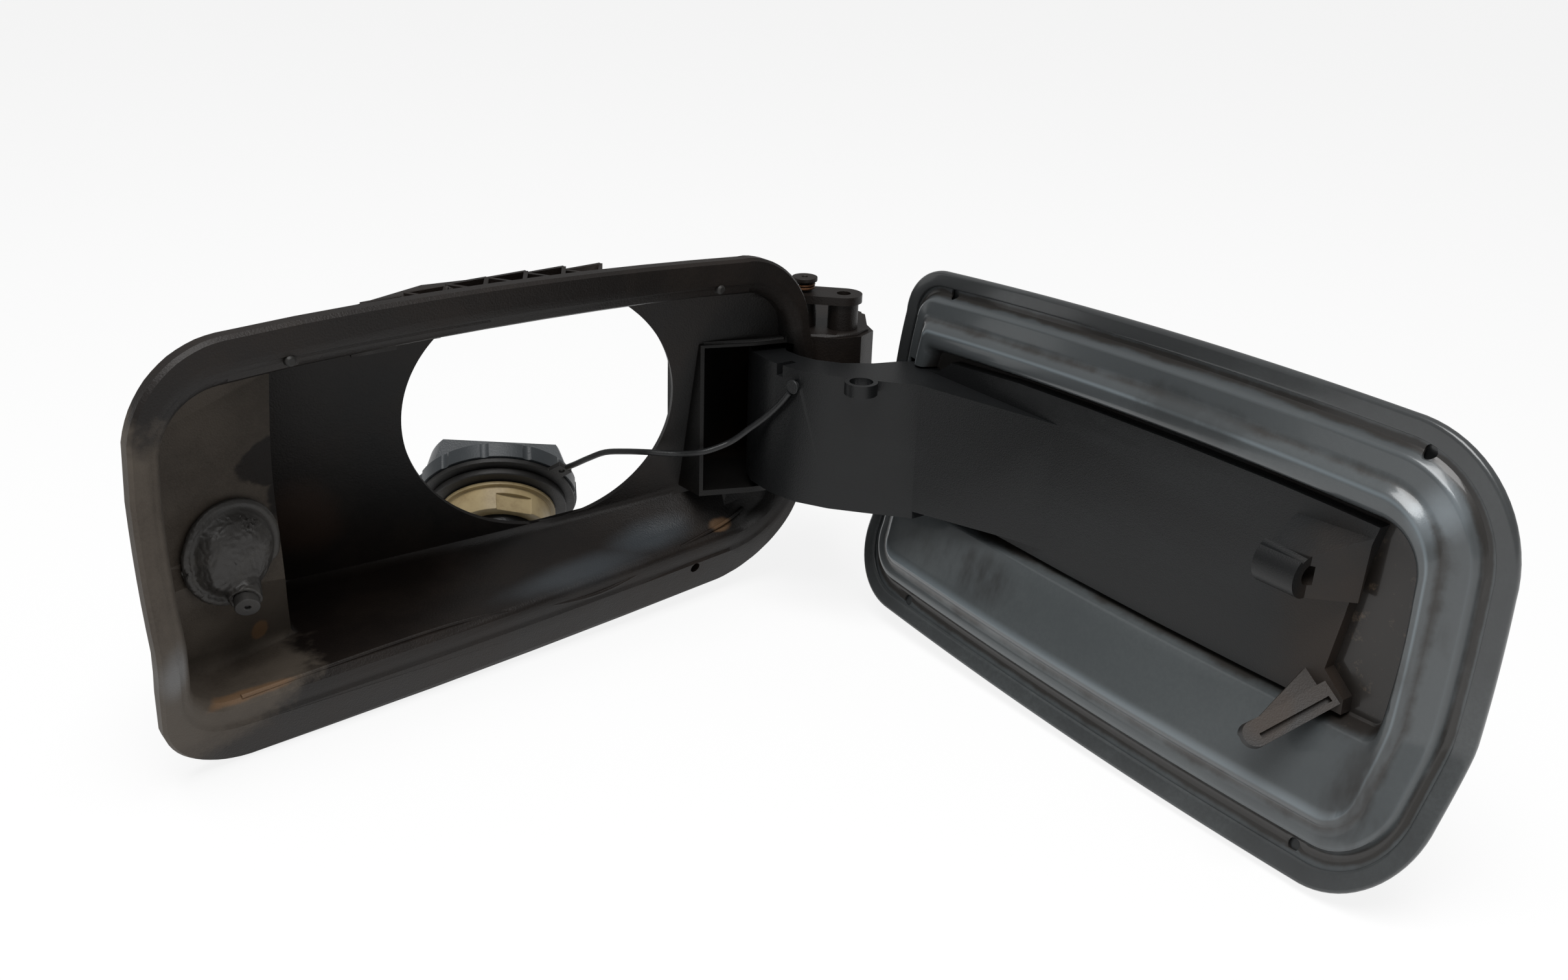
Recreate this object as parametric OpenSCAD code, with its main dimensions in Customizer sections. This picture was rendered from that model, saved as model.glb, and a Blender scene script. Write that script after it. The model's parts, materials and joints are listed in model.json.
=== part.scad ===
// Car fuel door: a moulded filler housing, its door standing open on a hooked arm, and a tethered cap.
// Housing axes: X runs along the rim to the hinge end, Y runs into the car body, Z runs up the hinge axis.

/* [Rim] */
// Length of the rim
rim_l = 284; // [280:1:290]
// Height of the rim at mid length
rim_h = 160; // [156:1:166]
// Corner radii of the rim: top hinge, top latch, bottom latch, bottom hinge
rim_r = [35, 39, 36, 38]; // [25:1:45]
// Thickness of the moulded wall
wall = 2.5; // [2:0.1:3]
// Slope of the lower quarter of the rim and the door, which follows a crease in the car body
crease_slope = 0.44; // [0.3:0.02:0.5]
// Height of that crease above the middle of the door
crease_z = -16; // [-24:1:-10]

/* [Filler pot] */
// Radius of the round filler hole
hole_r = 55; // [50:1:56]
// Turn of the pot floor towards the latch end, in degrees
floor_yaw = 20; // [15:1:22]
// Tilt of the pot floor, in degrees
floor_tilt = 11; // [6:1:13]
// Depth of the filler hole's centre behind the rim
hole_depth = 50; // [46:1:56]
// Height of the lattice ribs on the roof of the pot
rib_h = 6.5; // [4:0.5:8]
// Number of lattice cells along the roof
rib_cells = 7; // [5:1:9]
// Thickness of a lattice rib
rib_t = 1.6; // [1.2:0.1:2.4]

/* [Hinge] */
// Distance of the hinge axis from the end of the rim
hinge_out = 21; // [19:1:23]
// Radius of the hinge pin
pin_r = 3; // [2:0.1:3.5]
// Running clearance of the pin in the arm and the housing
pin_gap = 0.05; // [0.03:0.01:0.1]
// Angle by which the door stands open
open_angle = 84.5; // [70:0.5:90]
// Drop of the arm's lower end below the panel's recess
arm_drop = 2; // [0:0.5:4]
// Distance of the arm's upper end below the top of the recess
arm_low = 7; // [4:0.5:12]
// Room above and below the arm in its pocket
arm_room = 3; // [2:0.5:4]

/* [Door] */
// Gap between the rim's edge and the door at each end
end_gap = 3.5; // [2.5:0.5:5]
// Gap between the rim's edge and the door above and below
side_gap = 4; // [3:0.5:6]
// Corner radii of the door: top hinge, top latch, bottom latch, bottom hinge
door_r = [30, 34, 30, 34]; // [22:1:40]
// Thickness of the outer skin
skin_t = 1.2; // [1:0.1:1.4]
// Thickness of the pressed inner panel
panel_t = 1; // [0.8:0.1:1.2]
// Height of the panel's ridge above the hem
ridge_h = 9.8; // [8:0.2:10]
// Radius of the drain holes in the groove
drain_r = 2.2; // [1.5:0.1:2.6]

/* [Arm] */
// Thickness of the plate that carries the door
plate_t = 5; // [4:0.2:5.6]
// Radius of the arm's barrel round the hinge pin
barrel_r = 8; // [7:0.5:8.5]
// Outer radius of the ring boss on the arm
boss_r = 6.7; // [6:0.1:7.5]
// Radius of the boss's bore
boss_bore_r = 4.8; // [3.5:0.1:5]
// Depth of the boss's bore
boss_depth = 22; // [12:1:26]
// Radius of the striker's bore
striker_bore_r = 3.4; // [2.5:0.1:4]

/* [Latch] */
// Radius of the rubber boot's flange
boot_r = 20; // [18:0.5:21]
// Height of the boot's dome
boot_h = 9; // [7:0.5:11]
// Radius of the lock pin
lock_r = 4; // [3.5:0.1:4.4]
// Travel of the lock pin
lock_travel = 4; // [3:0.5:5]

/* [Cap] */
// Radius of the cap's head
cap_r = 36; // [33:0.5:38]
// Height of the cap's head
cap_h = 9; // [8:0.5:12]
// Height of the cap's grip
grip_h = 14; // [8:0.5:16]
// Width of the cap's grip
grip_w = 32; // [20:1:36]
// Radius of the cap's bayonet insert
insert_r = 24; // [22:0.5:25]

/* [Fits] */
// Gap between soft or curved faces that sit together
seat_gap = 0.3; // [0.2:0.05:0.4]
// Running clearance of the lock pin in its boot
lock_gap = 0.06; // [0.03:0.01:0.1]

/* [Hidden] */
$fn = 48;

// Outline detail: points on a corner, inside a long side and inside an end
corner_n = 7;
long_n = 8;
end_n = 9;
// Lean of the ends and growth of the height towards the latch end, for each millimetre
lean = -0.04;
growth = -0.0004;
// Bow of the top, bottom, latch end and hinge end
side_bow = [6.3, 1.8, 2.9, 4.9];
// Soft radius of the crease
crease_soft = 5;

// Rim and door: [latch x, hinge x, lower z, upper z]
rim = [-rim_l/2 + 1, rim_l/2 + 1, -rim_h/2 + 2.5, rim_h/2 + 2.5];
door_l = rim_l - 2*end_gap;
door_h = rim_h - 2*side_gap;
door_lift = 1;
door = [-door_l/2, door_l/2, -door_h/2 + door_lift, door_h/2 + door_lift];
// Inset of the panel's recess at [latch, hinge, bottom, top], and the arm that lies in it
recess_inset = [31, 28, 53, 36];
recess_z = [door[2] + recess_inset[2], door[3] - recess_inset[3]];
arm_z = [recess_z[0] - arm_drop, recess_z[1] - arm_low];

hinge_x = rim_l/2 + hinge_out;
hinge_y = 4;
hinge = [hinge_x, hinge_y, 0];
hole_at = [hinge_x - 124.4, hole_depth, 16.2];
// Longer than anything that a hole passes through
far = rim_l;
floor_n = [sin(floor_yaw)*cos(floor_tilt), cos(floor_yaw)*cos(floor_tilt), sin(floor_tilt)];
// Where the housing frame lies on the ground, so that the part stands on its lower edges
stand = [-21.6, 77, 80.8];

// The crease pushes the lower part inwards
function crease(z) = crease_slope*(sqrt(pow(max(crease_z - z, 0), 2) + pow(crease_soft, 2)) - crease_soft);
function arc_at(x, z, r, from) = [for (i = [0:corner_n - 1])
    let (a = from + 90*i/(corner_n - 1)) [x + r*cos(a), z + r*sin(a)]];
function between(a, b, n, out) = [for (i = [1:n])
    let (t = i/(n + 1)) a + (b - a)*t + out*(1 - pow(2*t - 1, 2))];
// A four-sided outline with bowed sides: s = [latch x, hinge x, lower z, upper z]
function outline(s, r, b) = let (
        c1 = arc_at(s[1] - r[0], s[3] - r[0], r[0], 0),
        c2 = arc_at(s[0] + r[1], s[3] - r[1], r[1], 90),
        c3 = arc_at(s[0] + r[2], s[2] + r[2], r[2], 180),
        c4 = arc_at(s[1] - r[3], s[2] + r[3], r[3], 270),
        m = corner_n - 1)
    concat(c1, between(c1[m], c2[0], long_n, [0, b[0]]), c2, between(c2[m], c3[0], end_n, [-b[2], 0]),
        c3, between(c3[m], c4[0], long_n, [0, -b[1]]), c4, between(c4[m], c1[0], end_n, [b[3], 0]));
function leaned(p) = [p[0] + lean*p[1], p[1]*(1 + growth*p[0])];
// The same outline pulled in by d = [latch, hinge, bottom, top]
function inset(s, r, d) = [for (p = outline([s[0] + d[0], s[1] - d[1], s[2] + d[2], s[3] - d[3]],
    [for (i = [0:3]) max(r[i] - [d[3] + d[1], d[3] + d[0], d[2] + d[0], d[2] + d[1]][i]/2, 4)],
    side_bow)) leaned(p)];
// A ring at depth y that follows the crease by the share k
function ring(s, r, d, y, k = 1) = [for (p = inset(s, r, d)) [p[0], y + k*crease(p[1]), p[1]]];
function ring_pair(count, a, b) = [for (i = [0:count - 1]) let (j = (i + 1)%count)
    each [[a + i, b + i, b + j], [a + i, b + j, a + j]]];
// A closed solid from rings; its ends are flat faces, or its last ring joins the first
module rings(list, joined = false) {
    count = len(list[0]);
    sides = [for (k = [0:len(list) - 2]) each ring_pair(count, k*count, (k + 1)*count)];
    last = (len(list) - 1)*count;
    ends = joined
        ? ring_pair(count, last, 0)
        : [[for (i = [0:count - 1]) i], [for (i = [count - 1:-1:0]) last + i]];
    polyhedron([for (r = list) each r], concat(sides, ends), convexity = 8);
}
// A child that stands along z is turned to run from a to b
module along(a, b) {
    d = b - a;
    translate(a) rotate([0, acos(d[2]/norm(d)), atan2(d[1], d[0])]) children();
}
module rod(a, b, r) along(a, b) cylinder(r = r, h = norm(b - a));
// Points in plan that are measured from the hinge axis
function from_hinge(list) = [for (p = list) [hinge_x + p[0], p[1]]];
module placed() translate(stand) children();
module on_door() placed() translate(hinge) rotate([0, 0, open_angle]) translate(-hinge) children();

// Rim and pot
function floor_y(x, z) = hole_at[1]
    - ((x - hole_at[0])*floor_n[0] + (z - hole_at[2])*floor_n[2])/floor_n[1];
// The pot's lower side rises towards the hinge end, and its roof falls towards the latch end
floor_rise = 0.14;
roof_fall = 0.24;
function pot_ring(d, share, out) = [for (p = inset(rim, rim_r, d)) let (
        low = min(max(-p[1]/40, 0), 1),
        high = min(max(p[1]/40, 0), 1),
        z = p[1] + share*(low*floor_rise*p[0] + high*roof_fall*min(p[0] + 5, 0)),
        y = 12 + 0.8*crease(p[1]))
    [p[0], (1 - share)*y + share*floor_y(p[0], z) + out, z]];
// Ring round the filler hole, with its points turned halfway to those of the pot's ring
function hole_ring(r, out) = let (
        base = pot_ring(pot_foot, 1, 0), n = len(base),
        ex = [cos(floor_yaw), -sin(floor_yaw), 0], ez = cross(ex, floor_n))
    [for (i = [0:n - 1]) let (
        dx = base[i][0] - hole_at[0], dz = base[i][2] - hole_at[2],
        t = atan2(dz, dx), turn = 360*i/n - 2, a = turn + shortest(t - turn)/2)
        hole_at + r*(cos(a)*ex + sin(a)*ez) + out*floor_n];
function shortest(a) = a - 360*round(a/360);
// The foot of the pot's wall keeps round the filler hole
pot_foot = [77, 9, hole_at[2] - hole_r - 8.7 - rim[2], rim[3] - hole_at[2] - hole_r + 4.2];
// The latch end steps in to a shelf for the boot: its share of the depth at the outer and inner edge
shelf = [0.25, 0.41];
shelf_inset = [19, 66];
function shelf_ring(i, out) = let (m = mix(mouth, pot_foot, shelf[i]))
    pot_ring([shelf_inset[i] - out*0.8, m[1] - out*0.8, m[2] - out*0.8, m[3] - out*0.8], shelf[i], out);
mouth = [12, 8.5, 28, 17.5];
function shrink(d, by) = [for (v = d) v - by];
function mix(a, b, t) = a*(1 - t) + b*t;

module pot_shell() rings([
    ring(rim, rim_r, [0, 0, 0, 0], 1.4),
    ring(rim, rim_r, [1.2, 1.2, 1.2, 1.2], 0),
    ring(rim, rim_r, [4.5, 4, 12, 8], 0.6),
    ring(rim, rim_r, [6.5, 5, 17, 11], 1),
    ring(rim, rim_r, [7.3, 5.6, 18.5, 12], 2.2),
    ring(rim, rim_r, [8.5, 6.3, 21, 13], 2.4),
    ring(rim, rim_r, [10, 7.3, 25, 15.5], 3.6),
    ring(rim, rim_r, [11.4, 8.2, 27.4, 17], 6.5),
    ring(rim, rim_r, mouth, 12, 0.8),
    shelf_ring(0, 0),
    shelf_ring(1, 0),
    pot_ring(mix(mouth, pot_foot, 0.93), 0.93, 0),
    pot_ring(pot_foot + [5, 4, 3, 3], 1, 0),
    hole_ring(hole_r - 4, 0),
    hole_ring(hole_r - 4, wall),
    pot_ring(pot_foot + [5, 4, 3, 3], 1, wall),
    pot_ring(shrink(mix(mouth, pot_foot, 0.96), wall*0.8), 0.96, wall*0.8),
    shelf_ring(1, wall),
    shelf_ring(0, wall),
    ring(rim, rim_r, shrink(mouth, wall), 12.5, 0.8),
    ring(rim, rim_r, shrink([11.4, 8.2, 27.4, 17], wall), 7.5),
    ring(rim, rim_r, [7, 4.6, 20, 11], 4.6),
    ring(rim, rim_r, [1.8, 1.8, 2, 2], 3.2),
    ring(rim, rim_r, [1.8, 1.8, 2, 2], 6),
    ring(rim, rim_r, [0, 0, 0, 0], 6)], joined = true);

// Hinge pocket in plan: the room that the arm sweeps, and the moulded wall round it
pocket = from_hinge([[-62, 3], [-62, 44], [-55, 51], [15, 51], [22, 44], [22, 16], [11.5, 4], [8, -3], [0, -5.5],
    [-8, -3], [-15, 5.7], [-26.5, 5.7], [-28.5, 3]]);
pocket_wall = from_hinge([[-63.5, 22], [-64.5, 45], [-56, 53.5], [16, 53.5], [24.5, 45], [24.5, 15], [14, 3],
    [10, -5], [0, -8], [-10, -5], [-17, 3.4], [-43, 12]]);
pocket_z = [arm_z[0] - arm_room, arm_z[1] + arm_room];
module upright(z0, z1) translate([0, 0, z0]) linear_extrude(z1 - z0) children();
module pocket_shell() {
    upright(pocket_z[0] - wall, pocket_z[1] + wall/2) polygon(pocket_wall);
    upright(pocket_z[1] + wall/2 - 0.01, pocket_z[1] + wall)
        polygon([for (p = pocket_wall) [p[0] + (hinge_x - 20 - p[0])*0.04, p[1] + (24 - p[1])*0.06]]);
}

// Hinge ear: a neck on the pocket's roof, and a plate with a second post
ear_z = pocket_z[1] + 14;
ear_t = 3.5;
ear_r = 8;
post_at = [hinge_x - 11, 17, 0];
module ear() {
    roof = pocket_z[1] + wall - 0.5;
    translate([hinge_x, hinge_y, roof]) cylinder(r = 6.5, h = ear_z - roof + 0.5);
    translate([post_at[0], post_at[1], roof]) cylinder(r = 5.5, h = ear_z - roof + 0.5);
    d = post_at - hinge;
    upright(ear_z, ear_z + ear_t) {
        translate([hinge_x, hinge_y]) circle(ear_r);
        translate([post_at[0], post_at[1]]) circle(ear_r);
        translate([hinge_x, hinge_y]) rotate(atan2(d[1], d[0])) translate([0, -ear_r]) square([norm(d), 2*ear_r]);
    }
}

// Lattice of crossed ribs on the pot's roof, whose height follows the roof's bow and slope
rib_x = [rim[0] + 79, rim[1] - 85];
rib_y = [10, 34];
roof_z = rim[3] - (mouth[3] + pot_foot[3])/2 + side_bow[0];
roof_bow = 20.4;
roof_slope = atan2(mouth[3] - pot_foot[3], hole_depth - rib_y[0]);
function roof_at(x) = roof_z - roof_bow*pow(x/rim[1], 2);
module lattice() {
    cell = (rib_x[1] - rib_x[0])/rib_cells;
    depth = rib_y[1] - rib_y[0];
    skew = atan2(depth, cell);
    for (i = [0:rib_cells - 1]) {
        x = rib_x[0] + (i + 0.5)*cell;
        translate([x, (rib_y[0] + rib_y[1])/2, roof_at(x) + rib_h/2]) rotate([roof_slope, 0, 0]) {
            for (s = [-1, 1])
                rotate([0, 0, s*skew]) cube([norm([cell, depth]) - 0.4, rib_t, rib_h], center = true);
            for (s = [-1, 1])
                translate([0, s*depth/2, 0]) cube([cell, rib_t, rib_h], center = true);
        }
    }
}

// Latch seat: the shelf at the latch end carries the boot
boot_x = rim[0] + 42.5;
boot_z = -6;
boot_lift = 1.56;
function shelf_point(i) = let (x = rim[0] + shelf_inset[i] - side_bow[2])
    [x, (1 - shelf[i])*12 + shelf[i]*floor_y(x, boot_z)];
shelf_slope = (shelf_point(1)[1] - shelf_point(0)[1])/(shelf_inset[1] - shelf_inset[0]);
shelf_angle = atan(shelf_slope);
boot_at = [boot_x, shelf_point(0)[1] + (boot_x - shelf_point(0)[0])*shelf_slope - boot_lift, boot_z];
boot_n = [sin(shelf_angle), -cos(shelf_angle), 0];
lock_root = boot_at + [2, -3.2, -12];
lock_dir = [-0.3, -0.85, -0.42]/norm([0.3, 0.85, 0.42]);
lock_l = 13;
lock_tip = lock_root + lock_l*lock_dir;

// Fixing boss on the lower flange, and the seats of the two rubber buffers on the upper flange
fixing_z = rim[2] + 16.5;
fixing_at = [rim[1] - 48, crease(fixing_z) + 4.78, fixing_z];
fixing_r = 2.3;
fixing_l = 8;
buffer_at = [[rim[0] + 54, 2.4, rim[3] - 8.3], [rim[1] - 50.5, 2.4, rim[3] - 13.7]];
buffer_r = 2;
buffer_l = 6;
post_r = 2.5;
post_foot = ear_z - 7;
module housing() color("#23201e") placed() difference() {
    union() {
        pot_shell();
        pocket_shell();
        ear();
        lattice();
        translate(fixing_at) rotate([-90, 0, 0]) cylinder(r = fixing_r + 2.2, h = fixing_l);
    }
    upright(pocket_z[0], pocket_z[1]) polygon(pocket);
    along(hole_at - 15*floor_n, hole_at) cylinder(r = hole_r, h = 30);
    translate([hinge_x, hinge_y, pocket_z[0] - wall - 1]) cylinder(r = pin_r + pin_gap, h = far);
    translate([post_at[0], post_at[1], post_foot]) cylinder(r = post_r, h = far);
    along(lock_root - 14*lock_dir, lock_root) cylinder(r = lock_r + 2.5, h = 12);
    translate(fixing_at) rotate([90, 0, 0]) cylinder(r = fixing_r, h = far, center = true);
    for (p = buffer_at) translate(p) rotate([90, 0, 0]) cylinder(r = buffer_r, h = 5*buffer_l, center = true);
}

module door_buffers() color("#1b1b1b") placed()
    for (p = buffer_at) translate(p) rotate([-90, 0, 0]) {
        translate([0, 0, -1.6]) cylinder(r = buffer_r - 0.02, h = buffer_l);
        translate([0, 0, -2.4]) cylinder(r1 = buffer_r - 0.8, r2 = buffer_r - 0.02, h = 0.8);
    }

// Hinge pin with its clip, the post beside it and the spring round the post
pin_z = [pocket_z[0] - wall - 5, ear_z - 1];
clip_z = pocket_z[0] - wall - 2.4;
module hinge_pin() color("#4a4a4c") placed() translate([hinge_x, hinge_y, 0]) difference() {
    upright(pin_z[0], pin_z[1]) circle(pin_r);
    translate([0, 0, clip_z]) rotate_extrude() translate([pin_r - 0.6, 0]) square([2, 1.2]);
}
module pin_clip() color("#5c5c5e") placed() translate([hinge_x, hinge_y, clip_z + 0.1]) difference() {
    cylinder(r = pin_r + 2.4, h = 1);
    translate([0, 0, -1]) cylinder(r = pin_r - 0.5, h = 3);
    translate([0, -pin_r*0.7, -1]) cube([10, pin_r*1.4, 3]);
}
spring_r = 4.1;
wire_r = 0.6;
spring_turns = 2.25;
spring_pitch = 2*wire_r + 0.1;
post_head_z = ear_z + ear_t + spring_turns*spring_pitch + 2*wire_r + 0.3;
module spring_post() color("#2b2a2a") placed() translate([post_at[0], post_at[1], 0]) difference() {
    union() {
        translate([0, 0, post_foot]) cylinder(r = post_r, h = post_head_z - post_foot + 0.5);
        translate([0, 0, post_head_z]) cylinder(r = 5.5, h = 1.8);
    }
    translate([0, 0, post_head_z + 0.9]) cylinder(r = 1.3, h = 3);
}
function coil(t) = [spring_r*cos(360*t), spring_r*sin(360*t), wire_r + 0.15 + spring_pitch*t];
module hinge_spring() color("#6b4a33") placed() translate([post_at[0], post_at[1], ear_z + ear_t]) {
    steps = 16*spring_turns;
    path = [for (i = [0:steps]) coil(i/16)];
    rings([for (i = [0:steps]) let (a = 360*i/16) [for (k = [0:7]) let (b = 45*k)
        path[i] + wire_r*[cos(b)*cos(a), cos(b)*sin(a), -sin(b)]]]);
}

// Rubber boot and the lock pin that slides in it
module boot_profile() polygon([[0, 0], [boot_r, 0], [boot_r, 1.8], [boot_r - 1.5, 2.6], [boot_r - 3.4, 2.2],
    [boot_r - 4.6, 4], [boot_r - 6.5, boot_h - 2.2], [boot_r - 9, boot_h - 0.6], [boot_r - 12, boot_h], [0, boot_h]]);
module latch_boot() color("#4a4947") placed() difference() {
    union() {
        along(boot_at, boot_at + boot_n) {
            difference() {
                rotate_extrude($fn = 64) boot_profile();
                rotate([0, 0, 35]) translate([16, -30, -1]) cube([20, 60, 20]);
            }
        }
        rod(lock_root - 3*lock_dir, lock_root + 8*lock_dir, lock_r + 2);
    }
    rod(lock_root - 20*lock_dir, lock_tip + 5*lock_dir, lock_r + lock_gap);
    translate(boot_at - 20.15*boot_n) along([0, 0, 0], boot_n) cylinder(r = 40, h = 20);
}
module lock_pin() color("#5a5a5a") placed() difference() {
    rod(lock_root - 2*lock_dir, lock_tip, lock_r);
    rod(lock_tip - 1.5*lock_dir, lock_tip + lock_dir, 0.9);
}

// Door: pressed inner panel hemmed into the outer skin
hem_y = -9.6;
hem_l = 6.5;
hem_gap = 0.22;
groove = hem_y + 0.02;
terrace = hem_y + 5;
ridge = hem_y + ridge_h + 1;
recess = hem_y + 3.9;
// Each entry: inset at [latch, hinge, bottom, top], depth of the face, share of the crease
panel_face = [
    [[1.6, 1.6, 1.6, 1.6], hem_y, 1],
    [[hem_l + 0.8, hem_l + 0.8, hem_l + 0.8, hem_l + 0.8], hem_y, 1],
    [[8.6, 8.4, 8.8, 9], groove, 1],
    [[10, 9.6, 10.4, 10.6], groove + 0.9, 1],
    [[11.4, 10.8, 12, 12.2], terrace - 1, 1],
    [[13, 12.2, 13.8, 14], terrace, 0.98],
    [[18.4, 16.8, 18, 21], terrace + 0.6, 0.96],
    [[20, 18.2, 19.6, 23.4], terrace + 1.6, 0.95],
    [[21.6, 19.6, 21.4, 26], ridge - 1.8, 0.93],
    [[23.4, 21.2, 23.6, 28.4], ridge - 0.3, 0.92],
    [[25.4, 23, 30, 30.6], ridge, 0.91],
    [[27.2, 24.6, 50, 32.6], ridge - 0.4, 0.85],
    [[28.8, 26, 51.4, 34.2], ridge - 2.2, 0.6],
    [recess_inset, recess, 0]];
function panel_ring(e, back) = ring(door, door_r, e[0], e[1] - back, e[2]);
plate_room = [hinge_x - 65, hinge_x - 39];
module inner_panel() color("#46505a") on_door() difference() {
    count = len(panel_face);
    rings(concat([for (i = [count - 1:-1:0]) panel_ring(panel_face[i], 0)],
        [for (e = panel_face) panel_ring(e, panel_t)]));
    translate([plate_room[0], recess, arm_z[0] - 1]) cube([plate_room[1] - plate_room[0] + 3, 30,
        arm_z[1] - arm_z[0] + 2]);
    for (p = drain_at) translate([p[0], 0, p[1]]) rotate([90, 0, 0]) cylinder(r = drain_r, h = far, center = true);
}
drain_at = [[door[1] - 33.5, door[3] - 15], [door[0] + 34.5, door[3] - 7.5],
    [door[1] - 37.5, door[2] + 17], [door[0] + 37.5, door[2] + 9.5]];

// Rings of the skin's flat, whose lower edges step down the soft crease: [side inset, height]
skin_steps = [[9, -13], [8, -19], [7, -25], [6, -32], [5, -42]];
module outer_skin() color("#3d464e") on_door() {
    back = hem_y - panel_t - hem_gap;
    front = back - skin_t;
    lip = hem_y + hem_gap;
    rings(concat(
        [for (e = skin_steps) ring(door, door_r, [e[0], e[0], e[1] - door[2], e[0]], back - skin_t*0.4)],
        [ring(door, door_r, [2, 2, 2, 2], back),
        ring(door, door_r, [1, 1, 1, 1], back + 0.5),
        ring(door, door_r, [1, 1, 1, 1], lip),
        ring(door, door_r, [hem_l, hem_l, hem_l, hem_l], lip),
        ring(door, door_r, [hem_l, hem_l, hem_l, hem_l], lip + skin_t*0.9),
        ring(door, door_r, [1.2, 1.2, 1.2, 1.2], lip + skin_t*0.9),
        ring(door, door_r, [0.2, 0.2, 0.2, 0.2], lip + skin_t*0.4),
        ring(door, door_r, [0, 0, 0, 0], lip - 0.6),
        ring(door, door_r, [0, 0, 0, 0], back + 0.2),
        ring(door, door_r, [0.5, 0.5, 0.5, 0.5], front + 0.5),
        ring(door, door_r, [1.8, 1.8, 1.8, 1.8], front)],
        [for (k = [len(skin_steps) - 1:-1:0]) let (e = skin_steps[k])
            ring(door, door_r, [e[0], e[0], e[1] - door[2], e[0]], front)]));
}

// Arm: a plate bonded in the panel's recess, a hook round the rim's edge and a barrel on the hinge pin
plate_y = recess + 0.05;
arm_far = from_hinge([[-41, plate_y], [-36.5, 2], [-33, 13], [-26, 24], [-17, 30.8], [-9, 33.4], [-1, 34], [3, 32],
    [4, 27], [1.5, 14], [-5, hinge_y + 6]]);
arm_near = from_hinge([[7.6, hinge_y + 2], [14, 21], [17, 34], [14, 43], [4, 47.5], [-11, 48], [-25, 45],
    [-38, 37.5], [-49, 28], [-64, 14.5], [-126, plate_y + plate_t], [-126, plate_y]]);
boss_at = [hinge_x - 49.5, 32.5, 0];
// Plate: [share of the door's half length, distance from the recess's upper, middle or lower height]
plate_upper = [[-0.7, 1.8], [-0.578, 3.4], [-0.433, 4.7], [-0.144, 5.7], [0.173, 4.8], [0.433, 2.5], [0.708, -2.5],
    [0.765, -6.4], [0.816, -7], [0.859, -11]];
plate_lower = [[0.859, -arm_drop], [0.71, -arm_drop], [0.71, 1.2], [0.433, 0], [0.173, -0.9], [-0.144, -1.3],
    [-0.433, -1.1], [-0.7, -0.4], [-0.7, 5], [-0.646, 12.5]];
function plate_points(list, z) = [for (p = list) [p[0]*door_l/2, p[1] + z]];
plate_sides = concat(plate_points(plate_upper, recess_z[1]), plate_points(plate_lower, recess_z[0]),
    plate_points([[-0.669, 1.5]], (recess_z[0] + recess_z[1])/2), plate_points([[-0.686, -9]], recess_z[1]));
clip_at = [hinge_x - 23, 44.5, arm_z[1] - 7];
slot_at = [hinge_x - 16, 40, arm_z[1] - 5];
module from_above(y0, y1) translate([0, y1, 0]) rotate([90, 0, 0]) linear_extrude(y1 - y0) children();
// Finger of the latch: a grooved blade with a rounded tip and a web at its root
finger_root = [door[0] + 46.5, plate_y + 3.4, recess_z[0] + 4.5];
finger_tip = [door[0] + 57, 25, recess_z[0] - 10.2];
finger_w = 8;
module finger() along(finger_root, finger_tip) rotate([0, 0, 45]) {
    reach = norm(finger_tip - finger_root) - finger_w/2;
    difference() {
        from_above(-3, 2.5) {
            translate([0, reach]) circle(finger_w/2);
            translate([-finger_w/2, -2]) square([finger_w, reach + 2]);
        }
        from_above(0.3, 3) translate([0.4, 2]) square([1.8, reach - 3]);
    }
    from_above(-3, -0.6) polygon([[-11, -1], [0, -1], [0, reach - 4], [-finger_w/2, reach - 5]]);
}
module door_arm() color("#222322") on_door() difference() {
    union() {
        difference() {
            upright(arm_z[0], arm_z[1]) polygon(concat(arm_far, arm_near));
            // The wedge's lower side rises along the door
            translate([hinge_x - 133, plate_y - 1, arm_z[0] - 36]) cube([22, 40, 42]);
            translate([hinge_x - 111, plate_y - 1, arm_z[0] + 6]) rotate([0, 3.5, 0]) translate([0, 0, -20])
                cube([46.4, 40, 20]);
        }
        translate([hinge_x, hinge_y, arm_z[0]]) cylinder(r = barrel_r, h = arm_z[1] - arm_z[0]);
        translate([boss_at[0], boss_at[1], arm_z[1] - 12]) cylinder(r = boss_r, h = 12.4);
        from_above(plate_y, plate_y + plate_t) polygon(plate_sides);
        striker();
        finger();
    }
    translate([hinge_x, hinge_y, arm_z[0] - 1]) cylinder(r = pin_r + pin_gap, h = far);
    translate([boss_at[0], boss_at[1], arm_z[1] - boss_depth]) cylinder(r = boss_bore_r, h = 2*boss_depth);
    translate([striker_x[1] + 1, striker_at[0], striker_at[1]]) rotate([0, -90, 0])
        cylinder(r = striker_bore_r, h = striker_x[1] - striker_x[0] + 2);
    clip_bore();
    translate(slot_at) cube([3.2, 14, 5]);
}
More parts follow.
